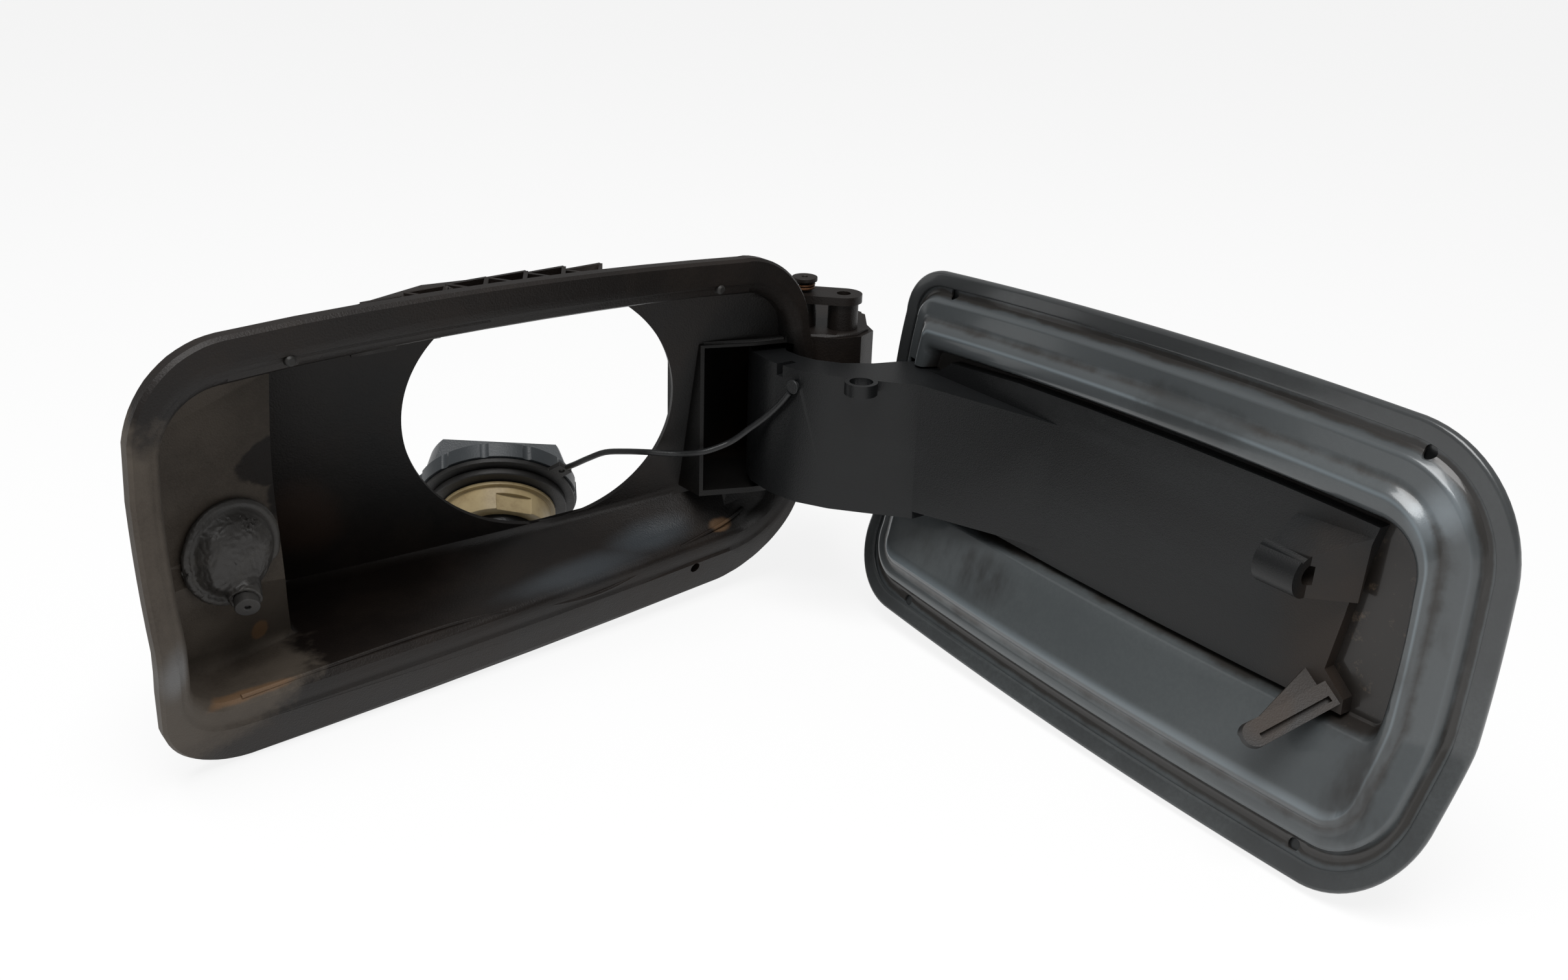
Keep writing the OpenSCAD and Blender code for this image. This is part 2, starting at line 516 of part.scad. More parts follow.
// Striker lug: a tapering foot with a sloped roof, and a nose with a bore along the door
striker_x = [door[0] + 53, door[0] + 68];
striker_at = [11, recess_z[1] - 15.5];
striker_r = 8;
striker_top = recess_z[1] - 1.6;
module striker() {
    foot = plate_y + plate_t;
    translate([striker_x[1], striker_at[0], striker_at[1]]) rotate([0, -90, 0])
        cylinder(r = striker_r, h = striker_x[1] - striker_x[0]);
    difference() {
        upright(striker_at[1] - striker_r, striker_top) polygon([[striker_x[1], foot - 1], [striker_x[1], striker_at[0]],
            [striker_x[0], striker_at[0]], [striker_x[0] - 10.5, foot], [striker_x[0] - 10.5, foot - 1]]);
        translate([striker_x[0] - 24.5, foot, striker_top]) rotate([-27, 0, 0]) cube([60, 30, 20]);
    }
}
clip_out = [-0.2, 0.98, 0];
module clip_bore() along(clip_at - 12*clip_out, clip_at) cylinder(r = 2.2, h = 40);

// Cap: head with its grip, ring with the tether lug, seal, bayonet insert and valve
cap_at = [hinge_x - 110.5, 110, -50.9];
cap_lean = 56;
cap_yaw = 58;
grip_turn = 98;
lug_turn = -132;
lug_r = 39;
neck_r = insert_r - 3;
seal_r = 31;
module in_cap(turn = 0) placed() translate(cap_at) rotate([0, cap_lean, cap_yaw]) rotate([0, 0, turn]) children();
module cap_head() color("#2c2f33") in_cap(grip_turn) {
    difference() {
        union() {
            translate([0, 0, 1.5]) cylinder(r = cap_r, h = cap_h - 2);
            translate([0, 0, cap_h - 0.5]) cylinder(r1 = cap_r, r2 = cap_r - 2, h = 1);
            translate([0, 0, -5]) cylinder(r = neck_r, h = 7);
            intersection() {
                translate([0, 0, cap_h]) cylinder(r1 = cap_r - 2, r2 = cap_r - 6, h = grip_h);
                translate([-cap_r, -grip_w/2, 0]) cube([2*cap_r, grip_w, 60]);
            }
        }
        for (a = [0:30:359]) rotate([0, 0, a + 15]) translate([cap_r + 2.2, 0, 1]) cylinder(r = 3, h = 30);
    }
}
module cap_ring() color("#1c1c1c") in_cap(lug_turn) difference() {
    union() {
        translate([0, 0, -0.9]) cylinder(r = cap_r - 1, h = 2.1);
        translate([cap_r - 3, -4, -0.9]) cube([lug_r + 5.5 - cap_r, 8, 2.1]);
    }
    translate([0, 0, -2]) cylinder(r = neck_r + seat_gap, h = 5);
    translate([lug_r, 0, -2]) cylinder(r = tether_r, h = 5);
}
module cap_seal() color("#151515") in_cap() difference() {
    translate([0, 0, -4.4]) cylinder(r = seal_r, h = 3.2);
    translate([0, 0, -5]) cylinder(r = neck_r + 0.1, h = 5);
}
module cap_insert() color("#a8967a") in_cap(20) difference() {
    union() {
        translate([0, 0, -18]) cylinder(r = insert_r, h = 13);
        translate([0, 0, -6.6]) cylinder(r = insert_r + 2, h = 1.6);
    }
    translate([0, 0, -19]) cylinder(r = insert_r - 5, h = 7);
    for (a = [0, 180]) rotate([0, 0, a]) translate([insert_r - 2, -8, -19]) cube([6, 16, 9]);
}
module cap_valve() color("#101010") in_cap() {
    translate([0, 0, -22]) cylinder(r = insert_r - 5.3, h = 10);
    translate([0, 0, -24]) cylinder(r = 12, h = 3);
}

// Tether: the route from the cap's lug to the hole in the arm
tether_r = 1.3;
tether_route = [[70.6, 79.4, -27.6], [71.2, 74, -24.5], [73, 66, -19.5], [76, 58, -15], [79, 47.5, -12],
    [83, 35.5, -9.5], [92, 28, -10], [97.5, 19.5, -8], [103.5, 15.5, -6], [109.5, 12, -3], [113, 5.5, 3.5],
    [115.2, -2, 10.5], [116.6, -9, 18], [117.4, -13.8, 24.2]];
// The route is laid for this hinge, filler hole and arm, and its parts move with them
laid_for = [163, 55, 34];
tether_path = [for (i = [0:len(tether_route) - 1]) tether_route[i] + [hinge_x - laid_for[0], 0, 0]
    + max(1 - abs(i - 3.5)/3.5, 0)*(hole_r - laid_for[1])*[1, 0, -0.8]
    + max((i - 9)/4, 0)*(arm_z[1] - laid_for[2])*[0, 0, 1]];
function unit(v) = v/norm(v);
function smooth_at(p, i, t) = let (a = p[max(i - 1, 0)], b = p[i], c = p[i + 1], d = p[min(i + 2, len(p) - 1)])
    0.5*(2*b + (c - a)*t + (2*a - 5*b + 4*c - d)*t*t + (3*b - a - 3*c + d)*t*t*t);
tether_n = 3;
tether_line = concat([for (i = [0:len(tether_path) - 2], k = [0:tether_n - 1]) smooth_at(tether_path, i, k/tether_n)],
    [tether_path[len(tether_path) - 1]]);
module tether() color("#1a1a1a") placed() {
    n = len(tether_line);
    rings([for (i = [0:n - 1]) let (
            d = unit(tether_line[min(i + 1, n - 1)] - tether_line[max(i - 1, 0)]),
            u = unit(cross(d, [0, 0, 1])), v = cross(d, u))
        [for (k = [0:7]) tether_line[i] + tether_r*(cos(45*k)*u + sin(45*k)*v)]]);
}
module tether_clip() color("#202020") on_door() {
    along(clip_at - 5*clip_out, clip_at) {
        cylinder(r = 2, h = 8);
        translate([0, 0, 7.2]) cylinder(r = 3, h = 1.2);
    }
}

housing();
door_buffers();
hinge_pin();
pin_clip();
spring_post();
hinge_spring();
latch_boot();
lock_pin();
door_arm();
inner_panel();
outer_skin();
cap_head();
cap_ring();
cap_seal();
cap_insert();
cap_valve();
tether();
tether_clip();
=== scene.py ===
# Car fuel door standing open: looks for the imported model, in metres and in its own frame.
import json
import math

import bpy
from mathutils import Matrix, Vector, noise
from mathutils.bvhtree import BVHTree
from mathutils.kdtree import KDTree


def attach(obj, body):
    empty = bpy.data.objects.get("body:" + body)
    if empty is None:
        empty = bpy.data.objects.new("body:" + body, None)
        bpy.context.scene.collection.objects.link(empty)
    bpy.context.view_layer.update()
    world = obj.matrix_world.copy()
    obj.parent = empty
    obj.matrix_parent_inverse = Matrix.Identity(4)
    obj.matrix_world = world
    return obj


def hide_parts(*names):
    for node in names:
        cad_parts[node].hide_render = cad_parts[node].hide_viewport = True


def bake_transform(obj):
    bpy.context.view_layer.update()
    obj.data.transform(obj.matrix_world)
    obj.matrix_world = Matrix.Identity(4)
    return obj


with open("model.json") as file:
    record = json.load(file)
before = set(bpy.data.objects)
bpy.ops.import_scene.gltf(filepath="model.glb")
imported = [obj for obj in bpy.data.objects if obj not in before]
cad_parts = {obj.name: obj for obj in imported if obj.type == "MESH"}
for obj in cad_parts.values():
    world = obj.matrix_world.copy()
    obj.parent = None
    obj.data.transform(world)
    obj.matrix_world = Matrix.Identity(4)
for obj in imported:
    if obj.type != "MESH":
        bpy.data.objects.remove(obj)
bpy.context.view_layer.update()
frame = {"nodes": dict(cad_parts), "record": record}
nodes = frame["nodes"]
print("frame loaded:", len(nodes), "nodes")


# small helpers
def deselectAll():
    for o in bpy.context.selected_objects:
        o.select_set(False)


def makeActive(obj):
    deselectAll()
    obj.select_set(True)
    bpy.context.view_layer.objects.active = obj


def applyAll(obj):
    makeActive(obj)
    for mod in list(obj.modifiers):
        bpy.ops.object.modifier_apply(modifier=mod.name)


def smooth(obj, angle=30, weighted=False):
    # large faces keep their own shading where weighted is asked for
    makeActive(obj)
    bpy.ops.object.shade_smooth_by_angle(angle=math.radians(angle))
    if weighted:
        mod = obj.modifiers.new("flatFaces", "WEIGHTED_NORMAL")
        mod.mode = "FACE_AREA"
        mod.keep_sharp = True
        bpy.ops.object.modifier_apply(modifier=mod.name)


def hexColour(code):
    # a picture colour such as 2a2623, as linear light
    out = []
    for i in (0, 2, 4):
        v = int(code[i:i + 2], 16) / 255
        out.append(v / 12.92 if v <= 0.04045 else ((v + 0.055) / 1.055) ** 2.4)
    return (*out, 1.0)


def bodyOf(nodeName):
    for body, listed in frame["record"]["behaviour"]["bodies"].items():
        if nodeName in listed:
            return body


def chooseEdges(obj, wanted):
    # into edit mode with only the wanted edges selected
    makeActive(obj)
    bpy.ops.object.mode_set(mode="EDIT")
    bpy.ops.mesh.select_mode(type="EDGE")
    bpy.ops.mesh.select_all(action="DESELECT")
    bpy.ops.object.mode_set(mode="OBJECT")
    corners = obj.data.vertices
    for edge in obj.data.edges:
        if wanted(corners[edge.vertices[0]], corners[edge.vertices[1]]):
            edge.select = True
    bpy.ops.object.mode_set(mode="EDIT")


def finePiece(nodeName, pieceName, angle=35, bevel=0.0, segments=2, refine=None, prepare=None):
    # a merged copy of a solid, with soft edges; it stands for that solid
    mesh = nodes[nodeName].data.copy()
    obj = bpy.data.objects.new(pieceName, mesh)
    bpy.context.scene.collection.objects.link(obj)
    mesh.materials.clear()
    makeActive(obj)
    bpy.ops.object.mode_set(mode="EDIT")
    bpy.ops.mesh.select_all(action="SELECT")
    bpy.ops.mesh.remove_doubles(threshold=0.00002)
    bpy.ops.mesh.dissolve_limited(angle_limit=math.radians(0.6))
    bpy.ops.mesh.select_all(action="DESELECT")
    bpy.ops.object.mode_set(mode="OBJECT")
    if prepare:
        prepare(obj)
    if refine:
        for v in mesh.vertices:
            v.co = refine(v.co)
    if bevel:
        mod = obj.modifiers.new("softEdge", "BEVEL")
        mod.width = bevel
        mod.segments = segments
        mod.limit_method = "ANGLE"
        mod.angle_limit = math.radians(40)
        mod.use_clamp_overlap = True
        applyAll(obj)
    smooth(obj, angle, True)
    standFor(obj, nodeName)
    return obj


def standFor(obj, nodeName):
    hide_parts(nodeName)
    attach(obj, bodyOf(nodeName))


def sweptTube(name, points, radius, resolution=3):
    # a round bead through points
    deselectAll()
    curve = bpy.data.curves.new(name, "CURVE")
    curve.dimensions = "3D"
    curve.bevel_depth = radius
    curve.bevel_resolution = resolution
    curve.use_fill_caps = True
    spline = curve.splines.new("NURBS")
    spline.points.add(len(points) - 1)
    for point, co in zip(spline.points, points):
        point.co = (*co, 1.0)
    spline.order_u = 4
    spline.use_endpoint_u = True
    spline.resolution_u = 6
    obj = bpy.data.objects.new(name, curve)
    bpy.context.scene.collection.objects.link(obj)
    return obj


def toMesh(obj):
    makeActive(obj)
    bpy.ops.object.convert(target="MESH")
    return bpy.context.view_layer.objects.active


# camera, at the photograph's viewing angle
cameraSettings = {
    "place": (-0.31323, -0.38705, 0.31871),
    "turn": (67.0813, -1.7991, -41.4168),
    "lens": 36.12,
}
cameraData = bpy.data.cameras.new("photoCamera")
cameraData.lens = cameraSettings["lens"]
cameraData.sensor_width = 36
cameraData.sensor_fit = "HORIZONTAL"
camera = bpy.data.objects.new("photoCamera", cameraData)
camera.location = cameraSettings["place"]
camera.rotation_euler = [math.radians(a) for a in cameraSettings["turn"]]
bpy.context.scene.collection.objects.link(camera)
bpy.context.scene.camera = camera

# tether: a rubber cord from the cap's lug into the hole in the arm
tetherCord = {
    "diameter": 0.0026,
    "route": [(0.049, 0.1564, 0.0532), (0.0496, 0.151, 0.0563), (0.0514, 0.143, 0.0613),
              (0.0544, 0.135, 0.0658), (0.0574, 0.1245, 0.0688), (0.0614, 0.1125, 0.0713),
              (0.0704, 0.105, 0.0708), (0.0759, 0.0965, 0.0728), (0.0819, 0.0925, 0.0748),
              (0.0879, 0.089, 0.0778), (0.0914, 0.0825, 0.0843), (0.0936, 0.075, 0.0913),
              (0.095, 0.068, 0.0988), (0.0958, 0.0632, 0.105)],
}


def throughPoints(route, steps=4):
    # a smooth line that passes through every point of the route
    line = []
    for i in range(len(route) - 1):
        a, b, c, d = (Vector(route[max(0, min(j, len(route) - 1))]) for j in (i - 1, i, i + 1, i + 2))
        for k in range(steps):
            t = k / steps
            line.append(0.5 * (2 * b + (c - a) * t + (2 * a - 5 * b + 4 * c - d) * t * t
                               + (3 * b - a - 3 * c + d) * t ** 3))
    line.append(Vector(route[-1]))
    return line


tetherLine = throughPoints(tetherCord["route"])
tetherCurve = bpy.data.curves.new("capTether", "CURVE")
tetherCurve.dimensions = "3D"
tetherCurve.bevel_depth = tetherCord["diameter"] / 2
tetherCurve.bevel_resolution = 4
tetherCurve.use_fill_caps = True
tetherSpline = tetherCurve.splines.new("POLY")
tetherSpline.points.add(len(tetherLine) - 1)
for point, co in zip(tetherSpline.points, tetherLine):
    point.co = (*co, 1.0)
tetherSpline.use_smooth = True
tetherPiece = bpy.data.objects.new("capTether", tetherCurve)
bpy.context.scene.collection.objects.link(tetherPiece)
tetherPiece = toMesh(tetherPiece)
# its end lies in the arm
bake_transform(tetherPiece)
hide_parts("tether")

# small corrections of the outlines, in millimetres of the housing's own axes
cadPlace = Vector((-21.6, 77, 80.8))
hingePlace = Vector((163, 4, 0))
doorAngle = math.radians(84.5)
# the ends lean and the height grows towards the latch end, for each millimetre
doorLean, doorGrowth = 0.04, 0.0004
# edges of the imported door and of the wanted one, the middle and half length of each bow,
# and how far each ring lies inside the edges, before and after
doorFit = {
    "latchEnd": -138.5, "latchBow": 2.9, "latchSpan": (-1, 44),
    "latchEndWanted": -140.3, "latchBowWanted": 1.1, "latchSpanWanted": (-4, 36.5),
    "top": 77.0, "topBow": 6.3, "topSpan": (2, 106.5),
    "topWanted": 77.2, "topBowWanted": 2.5, "topSpanWanted": (10.7, 106),
    "bottom": -75, "bottomBow": 1.8, "bottomSpan": (0, 106),
    "topZone": 48, "latchZone": 60, "bottomZone": 30,
    "topInsets": ((0, 0), (9, 8.8), (12.2, 11), (14, 12.4), (21, 19.4), (23.4, 20.6), (26, 22), (28.4, 23.4),
                  (30.6, 25.2), (32.6, 29.8), (34.2, 31.4), (36, 33.2), (48, 48)),
    "latchInsets": ((0, 0), (10, 9.6), (13, 12.2), (18.4, 19.4), (21.6, 21.6), (23.4, 22.6), (25.4, 23.8),
                    (27.2, 25), (28.8, 26.2), (31, 27.5), (60, 60)),
    "bottomInsets": ((0, 0), (8.8, 9.4), (10.4, 11.4), (12, 13.6), (13.8, 15.4), (18, 18.6), (30, 30)),
    # each corner: its place, the way it moves and how far
    "corners": (((-128, 69), (1, -1), 4.4), ((126, 66), (1, 1), 3.0), ((-127, -66), (1, 1), 1.6)),
    "cornerReach": 15.0,
}
# the rim's bows, its lower latch corner, the hole in the pot's floor, the arcs of the corners
# and the pocket's wall; over a pair called part a move fades in or out
rimFit = {
    "topBow": 3.2, "topSpan": (3, 105), "topPart": (48, 78),
    "latchBow": 1.3, "latchSpan": (0, 42), "latchPart": (-128, -112), "frontPart": (8.5, 12),
    "corner": (-127.8, -70.5), "cornerMove": 3.0, "cornerReach": 14.0, "cornerPart": (8, 30),
    "holePlace": (38.6, 50, 16.2), "holeRadius": 55.0, "holeGrow": 1.2, "holeShift": (0.3, -1.3),
    "floorYaw": 20.0, "floorTilt": 11.0, "floorThick": 5, "holeMargin": 2,
    "arcCentres": ((-103.7, 44), (106, 43), (-103.3, -40), (106.6, -36)), "arcDepth": 40.0,
    "arcCuts": 2, "arcEdge": (1.2, 14), "arcTurn": (2, 32), "arcRadius": 8, "arcSlant": 0.35,
    "pocketWall": (97.6, 100.1), "pocketWallMove": 1.5, "pocketEnd": 100.6, "pocketDepth": 26,
}
# the ring boss, whose tube is cut short, and where the plate and the striker end
armFit = {
    "bossAxis": (113.5, 32.5), "bossReach": 7.2, "bossPart": (10, 25),
    "bossFoot": 29.3, "bossFootBefore": 22, "bossShrink": 0.07,
    "plateEnd": 99.5, "plateFace": -0.4, "strikerStart": -58,
}
# the lock pin's tip in metres
lockFit = {
    "tip": (-0.1245, 0.1077, 0.0604), "axis": (-0.3016, -0.8545, -0.4222), "length": 0.0040,
    "shorten": 0.0016, "widen": 1.12,
}
# a move along a diagonal, shared out to both axes
diagonal = 0.7071


def between(low, high, value):
    t = max(0.0, min((value - low) / (high - low), 1.0))
    return t * t * (3 - 2 * t)


def readOff(pairs, value):
    if value <= pairs[0][0]:
        return value
    for (a, b), (c, d) in zip(pairs, pairs[1:]):
        if value <= c:
            return b + (d - b) * (value - a) / (c - a)
    return value


def bowed(value, middle, half, height):
    return height * max(0.0, 1 - ((value - middle) / half) ** 2)


def refineDoorPoint(x, z):
    # the leaning outline is set upright, drawn to the wanted edges, and leant again
    fit = doorFit
    up = z / (1 - doorGrowth * x)
    along = x + doorLean * up
    top = fit["top"] + bowed(along, *fit["topSpan"], fit["topBow"]) - up
    latch = along - fit["latchEnd"] + bowed(up, *fit["latchSpan"], fit["latchBow"])
    bottom = up - fit["bottom"] + bowed(along, *fit["bottomSpan"], fit["bottomBow"])
    newUp, newAlong = up, along
    if top < fit["topZone"]:
        edge = fit["topWanted"] + bowed(along, *fit["topSpanWanted"], fit["topBowWanted"])
        newUp = edge - readOff(fit["topInsets"], top)
    elif bottom < fit["bottomZone"]:
        newUp = up + readOff(fit["bottomInsets"], bottom) - bottom
    if latch < fit["latchZone"]:
        edge = fit["latchEndWanted"] - bowed(up, *fit["latchSpanWanted"], fit["latchBowWanted"])
        newAlong = edge + readOff(fit["latchInsets"], latch)
    for place, way, far in fit["corners"]:
        away = (newAlong - place[0]) ** 2 + (newUp - place[1]) ** 2
        pull = far * diagonal * math.exp(-away / (2 * fit["cornerReach"] ** 2))
        newAlong += way[0] * pull
        newUp += way[1] * pull
    return newAlong - doorLean * newUp, newUp * (1 - doorGrowth * newAlong)


def toClosedDoor(co):
    # from the open door in metres to millimetres on the closed one
    return Matrix.Rotation(-doorAngle, 3, "Z") @ (co * 1000 - cadPlace - hingePlace) + hingePlace


def toOpenDoor(place):
    # the way back, to metres on the open one
    turned = Matrix.Rotation(doorAngle, 3, "Z") @ (place - hingePlace) + hingePlace
    return (turned + cadPlace) / 1000


def refineDoor(co):
    # below the crease a point stays on the sloping face
    closed = toClosedDoor(co)
    x, z = refineDoorPoint(closed.x, closed.z)
    slope = doorSheet["creaseSlope"] if closed.z < doorSheet["creaseFrom"] - 2 else 0.0
    return toOpenDoor(Vector((x, closed.y + slope * (closed.z - z), z)))


def refineArm(co):
    # only the plate and the striker follow the panel's recess; the boss tube is cut short
    fit = armFit
    closed = toClosedDoor(co)
    fromBoss = math.hypot(closed.x - fit["bossAxis"][0], closed.y - fit["bossAxis"][1])
    if fromBoss < fit["bossReach"] and fit["bossPart"][0] < closed.z < fit["bossPart"][1]:
        closed.z = fit["bossFoot"] - fit["bossShrink"] * (fit["bossFootBefore"] - closed.z)
        return toOpenDoor(closed)
    if closed.x > fit["plateEnd"] or (closed.y > fit["plateFace"] and closed.x > fit["strikerStart"]):
        return co
    return refineDoor(co)


def roundCorners(obj):
    # the facets along the rim's corners are split, and the new points moved out to the arc
    fit = rimFit
    arcs = []

    def wanted(a, b):
        p, q = a.co * 1000 - cadPlace, b.co * 1000 - cadPlace
        mid, way = (p + q) / 2, q - p
        if not fit["arcEdge"][0] < way.length < fit["arcEdge"][1] or mid.y > fit["arcDepth"]:
            return False
        for x, z in fit["arcCentres"]:
            out = Vector((mid.x - x, 0, mid.z - z))
            if out.x * x > 0 and out.z * z > 0 and out.length > fit["arcRadius"]:
                turn = math.degrees(a.normal.angle(b.normal, 0.0))
                slant = abs(way.normalized().dot(out.normalized()))
                along = slant < fit["arcSlant"] and abs(way.y) < 0.5 * way.length
                if along and fit["arcTurn"][0] < turn < fit["arcTurn"][1]:
                    arcs.append((a.co.copy(), b.co.copy(), Vector((x, 0, z))))
                    return True
        return False

    chooseEdges(obj, wanted)
    bpy.ops.mesh.subdivide(number_cuts=fit["arcCuts"])
    bpy.ops.mesh.select_all(action="DESELECT")
    bpy.ops.object.mode_set(mode="OBJECT")
    points = obj.data.vertices
    tree = KDTree(len(points))
    for v in points:
        tree.insert(v.co, v.index)
    tree.balance()
    for a, b, centre in arcs:
        middle = (centre + cadPlace) / 1000
        reach = [math.hypot(co.x - middle.x, co.z - middle.z) for co in (a, b)]
        for k in range(1, fit["arcCuts"] + 1):
            t = k / (fit["arcCuts"] + 1)
            chord = a.lerp(b, t)
            index, away = tree.find(chord)[1:]
            grow = (reach[0] * (1 - t) + reach[1] * t) / math.hypot(chord.x - middle.x, chord.z - middle.z)
            if away < 0.00001:
                points[index].co.x = middle.x + (chord.x - middle.x) * grow
                points[index].co.z = middle.z + (chord.z - middle.z) * grow
    print("corner edges rounded:", len(arcs))


def refineHousing(co):
    p = co * 1000 - cadPlace
    fit = rimFit
    front = 1 - between(*fit["frontPart"], p.y)
    p.z -= front * bowed(p.x, *fit["topSpan"], fit["topBow"]) * between(*fit["topPart"], p.z)
    p.x += (1 - between(*fit["latchPart"], p.x)) * bowed(p.z, *fit["latchSpan"], fit["latchBow"])
    away = (p.x - fit["corner"][0]) ** 2 + (p.z - fit["corner"][1]) ** 2
    pull = diagonal * fit["cornerMove"] * math.exp(-away / (2 * fit["cornerReach"] ** 2))
    pull *= 1 - between(*fit["cornerPart"], p.y)
    p.x -= pull
    p.z -= pull
    if fit["pocketWall"][0] < p.x < fit["pocketWall"][1] and p.y > fit["pocketDepth"]:
        p.x = min(p.x + fit["pocketWallMove"], fit["pocketEnd"])
    # the hole in the pot's floor
    yaw, tilt = math.radians(fit["floorYaw"]), math.radians(fit["floorTilt"])
    floorNormal = Vector((math.sin(yaw) * math.cos(tilt), math.cos(yaw) * math.cos(tilt), math.sin(tilt)))
    across = Vector((math.cos(yaw), -math.sin(yaw), 0))
    upward = across.cross(floorNormal)
    local = p - Vector(fit["holePlace"])
    depth = local.dot(floorNormal)
    flat = local - depth * floorNormal
    if abs(depth) < fit["floorThick"] and flat.length < fit["holeRadius"] + fit["holeMargin"]:
        grown = flat.normalized() * fit["holeGrow"]
        p += grown + across * fit["holeShift"][0] + upward * fit["holeShift"][1]
    return (p + cadPlace) / 1000


def refineLock(co):
    # a shorter, wider tip
    axis = Vector(lockFit["axis"])
    away = co - Vector(lockFit["tip"])
    along = away.dot(axis)
    if along < -lockFit["length"]:
        return co
    return co - axis * lockFit["shorten"] + (away - along * axis) * (lockFit["widen"] - 1)


# door: pressed panel and skin, drawn ring by ring on the door's finer outline
doorSheet = {
    "sides": (-140.3, 138.7, -74.8, 77.2),
    "bows": (2.5, 2.2, 1.1, 4.9),
    "corners": (22, 45, 34, 31),
    "cornerPoints": 20,
    "sidePoints": 22,
    "creaseFrom": -16,
    "creaseSlope": 0.44,
    "creaseSoft": 5,
    "panelThickness": 1.0,
    "drains": ((107.9, 66.0), (-106.7, 70.2), (102.0, -64.5), (-99.0, -68.2)),
    "drainRadius": 2.2, "drainLevel": -3, "drainCut": 30,
    "armRoomMiddle": (112.5, 9.3, 5), "armRoomSize": (29, 30, 60),
}
# insets at the latch, hinge, bottom and top, depth of the face, share of the crease
panelProfile = [
    ((27.9, 28.4, 53.2, 33.6), -5.7, 0), ((27.1, 27.4, 52.4, 32.6), -5.3, 0.2),
    ((26.4, 26.3, 51.6, 31.6), -2.2, 0.5), ((25.6, 25.2, 50.6, 30.4), 0.2, 0.75),
    ((24.9, 24.5, 49.8, 29.4), 0.9, 0.86), ((24.2, 23.6, 45, 28), 1.2, 0.9),
    ((23.4, 22.6, 29, 25.2), 1.2, 0.91), ((22.7, 21.6, 24.6, 23.8), 0.9, 0.92),
    ((22.0, 20.6, 23.0, 22.6), 0.0, 0.92), ((21.2, 19.4, 21.4, 21.4), -1.6, 0.93),
    ((20.5, 18.2, 20.2, 20.5), -3.0, 0.95), ((19.4, 17.0, 18.8, 19.4), -3.8, 0.96),
    ((17.6, 15.6, 17.4, 17.6), -4.1, 0.97), ((13.0, 12.6, 16.0, 13.0), -4.5, 0.98),
    ((12.0, 11.8, 15.0, 12.0), -4.8, 0.98), ((11.2, 11.0, 14.0, 11.2), -5.7, 1),
    ((10.4, 10.2, 12.8, 10.4), -7.6, 1), ((9.7, 9.5, 11.6, 9.8), -8.9, 1),
    ((9.0, 8.8, 10.2, 9.2), -9.5, 1), ((8.0, 8.0, 8.6, 8.2), -9.6, 1),
    ((7.3, 7.3, 7.3, 7.3), -9.6, 1), ((1.6, 1.6, 1.6, 1.6), -9.6, 1)]
# each ring of the panel: in a groove below 0, darkened with painted shade and dirt; on a crest above it, lit
# with a painted highlight
panelShade = (-1, -1, -0.8, -0.2, 0, 0, 0, 0.5, 0, -0.4, -0.7, -0.5, -0.2, 0, 0.2, 0.1, -0.5, -0.9, -1,
              -0.9, -0.4, 0)
skinProfile = [
    ((9, 9, 61.8, 9), -11.3, 1), ((8, 8, 55.8, 8), -11.3, 1),
    ((7, 7, 49.8, 7), -11.3, 1), ((6, 6, 42.8, 6), -11.3, 1),
    ((5, 5, 32.8, 5), -11.3, 1), ((2, 2, 2, 2), -10.85, 1),
    ((1, 1, 1, 1), -10.3, 1), ((1, 1, 1, 1), -9.38, 1),
    ((6.3, 6.3, 6.3, 6.3), -9.38, 1), ((6.6, 6.6, 6.6, 6.6), -9.0, 1),
    ((6.3, 6.3, 6.3, 6.3), -8.5, 1), ((5.6, 5.6, 5.6, 5.6), -8.3, 1),
    ((1.5, 1.5, 1.5, 1.5), -8.3, 1), ((0.6, 0.6, 0.6, 0.6), -8.6, 1),
    ((0.15, 0.15, 0.15, 0.15), -9.2, 1), ((0, 0, 0, 0), -10.0, 1),
    ((0, 0, 0, 0), -10.8, 1), ((0.2, 0.2, 0.2, 0.2), -11.4, 1),
    ((0.8, 0.8, 0.8, 0.8), -11.8, 1), ((1.8, 1.8, 1.8, 1.8), -12.0, 1),
    ((5, 5, 32.8, 5), -12.0, 1), ((6, 6, 42.8, 6), -12.0, 1),
    ((7, 7, 49.8, 7), -12.0, 1), ((8, 8, 55.8, 8), -12.0, 1),
    ((9, 9, 61.8, 9), -12.0, 1)]


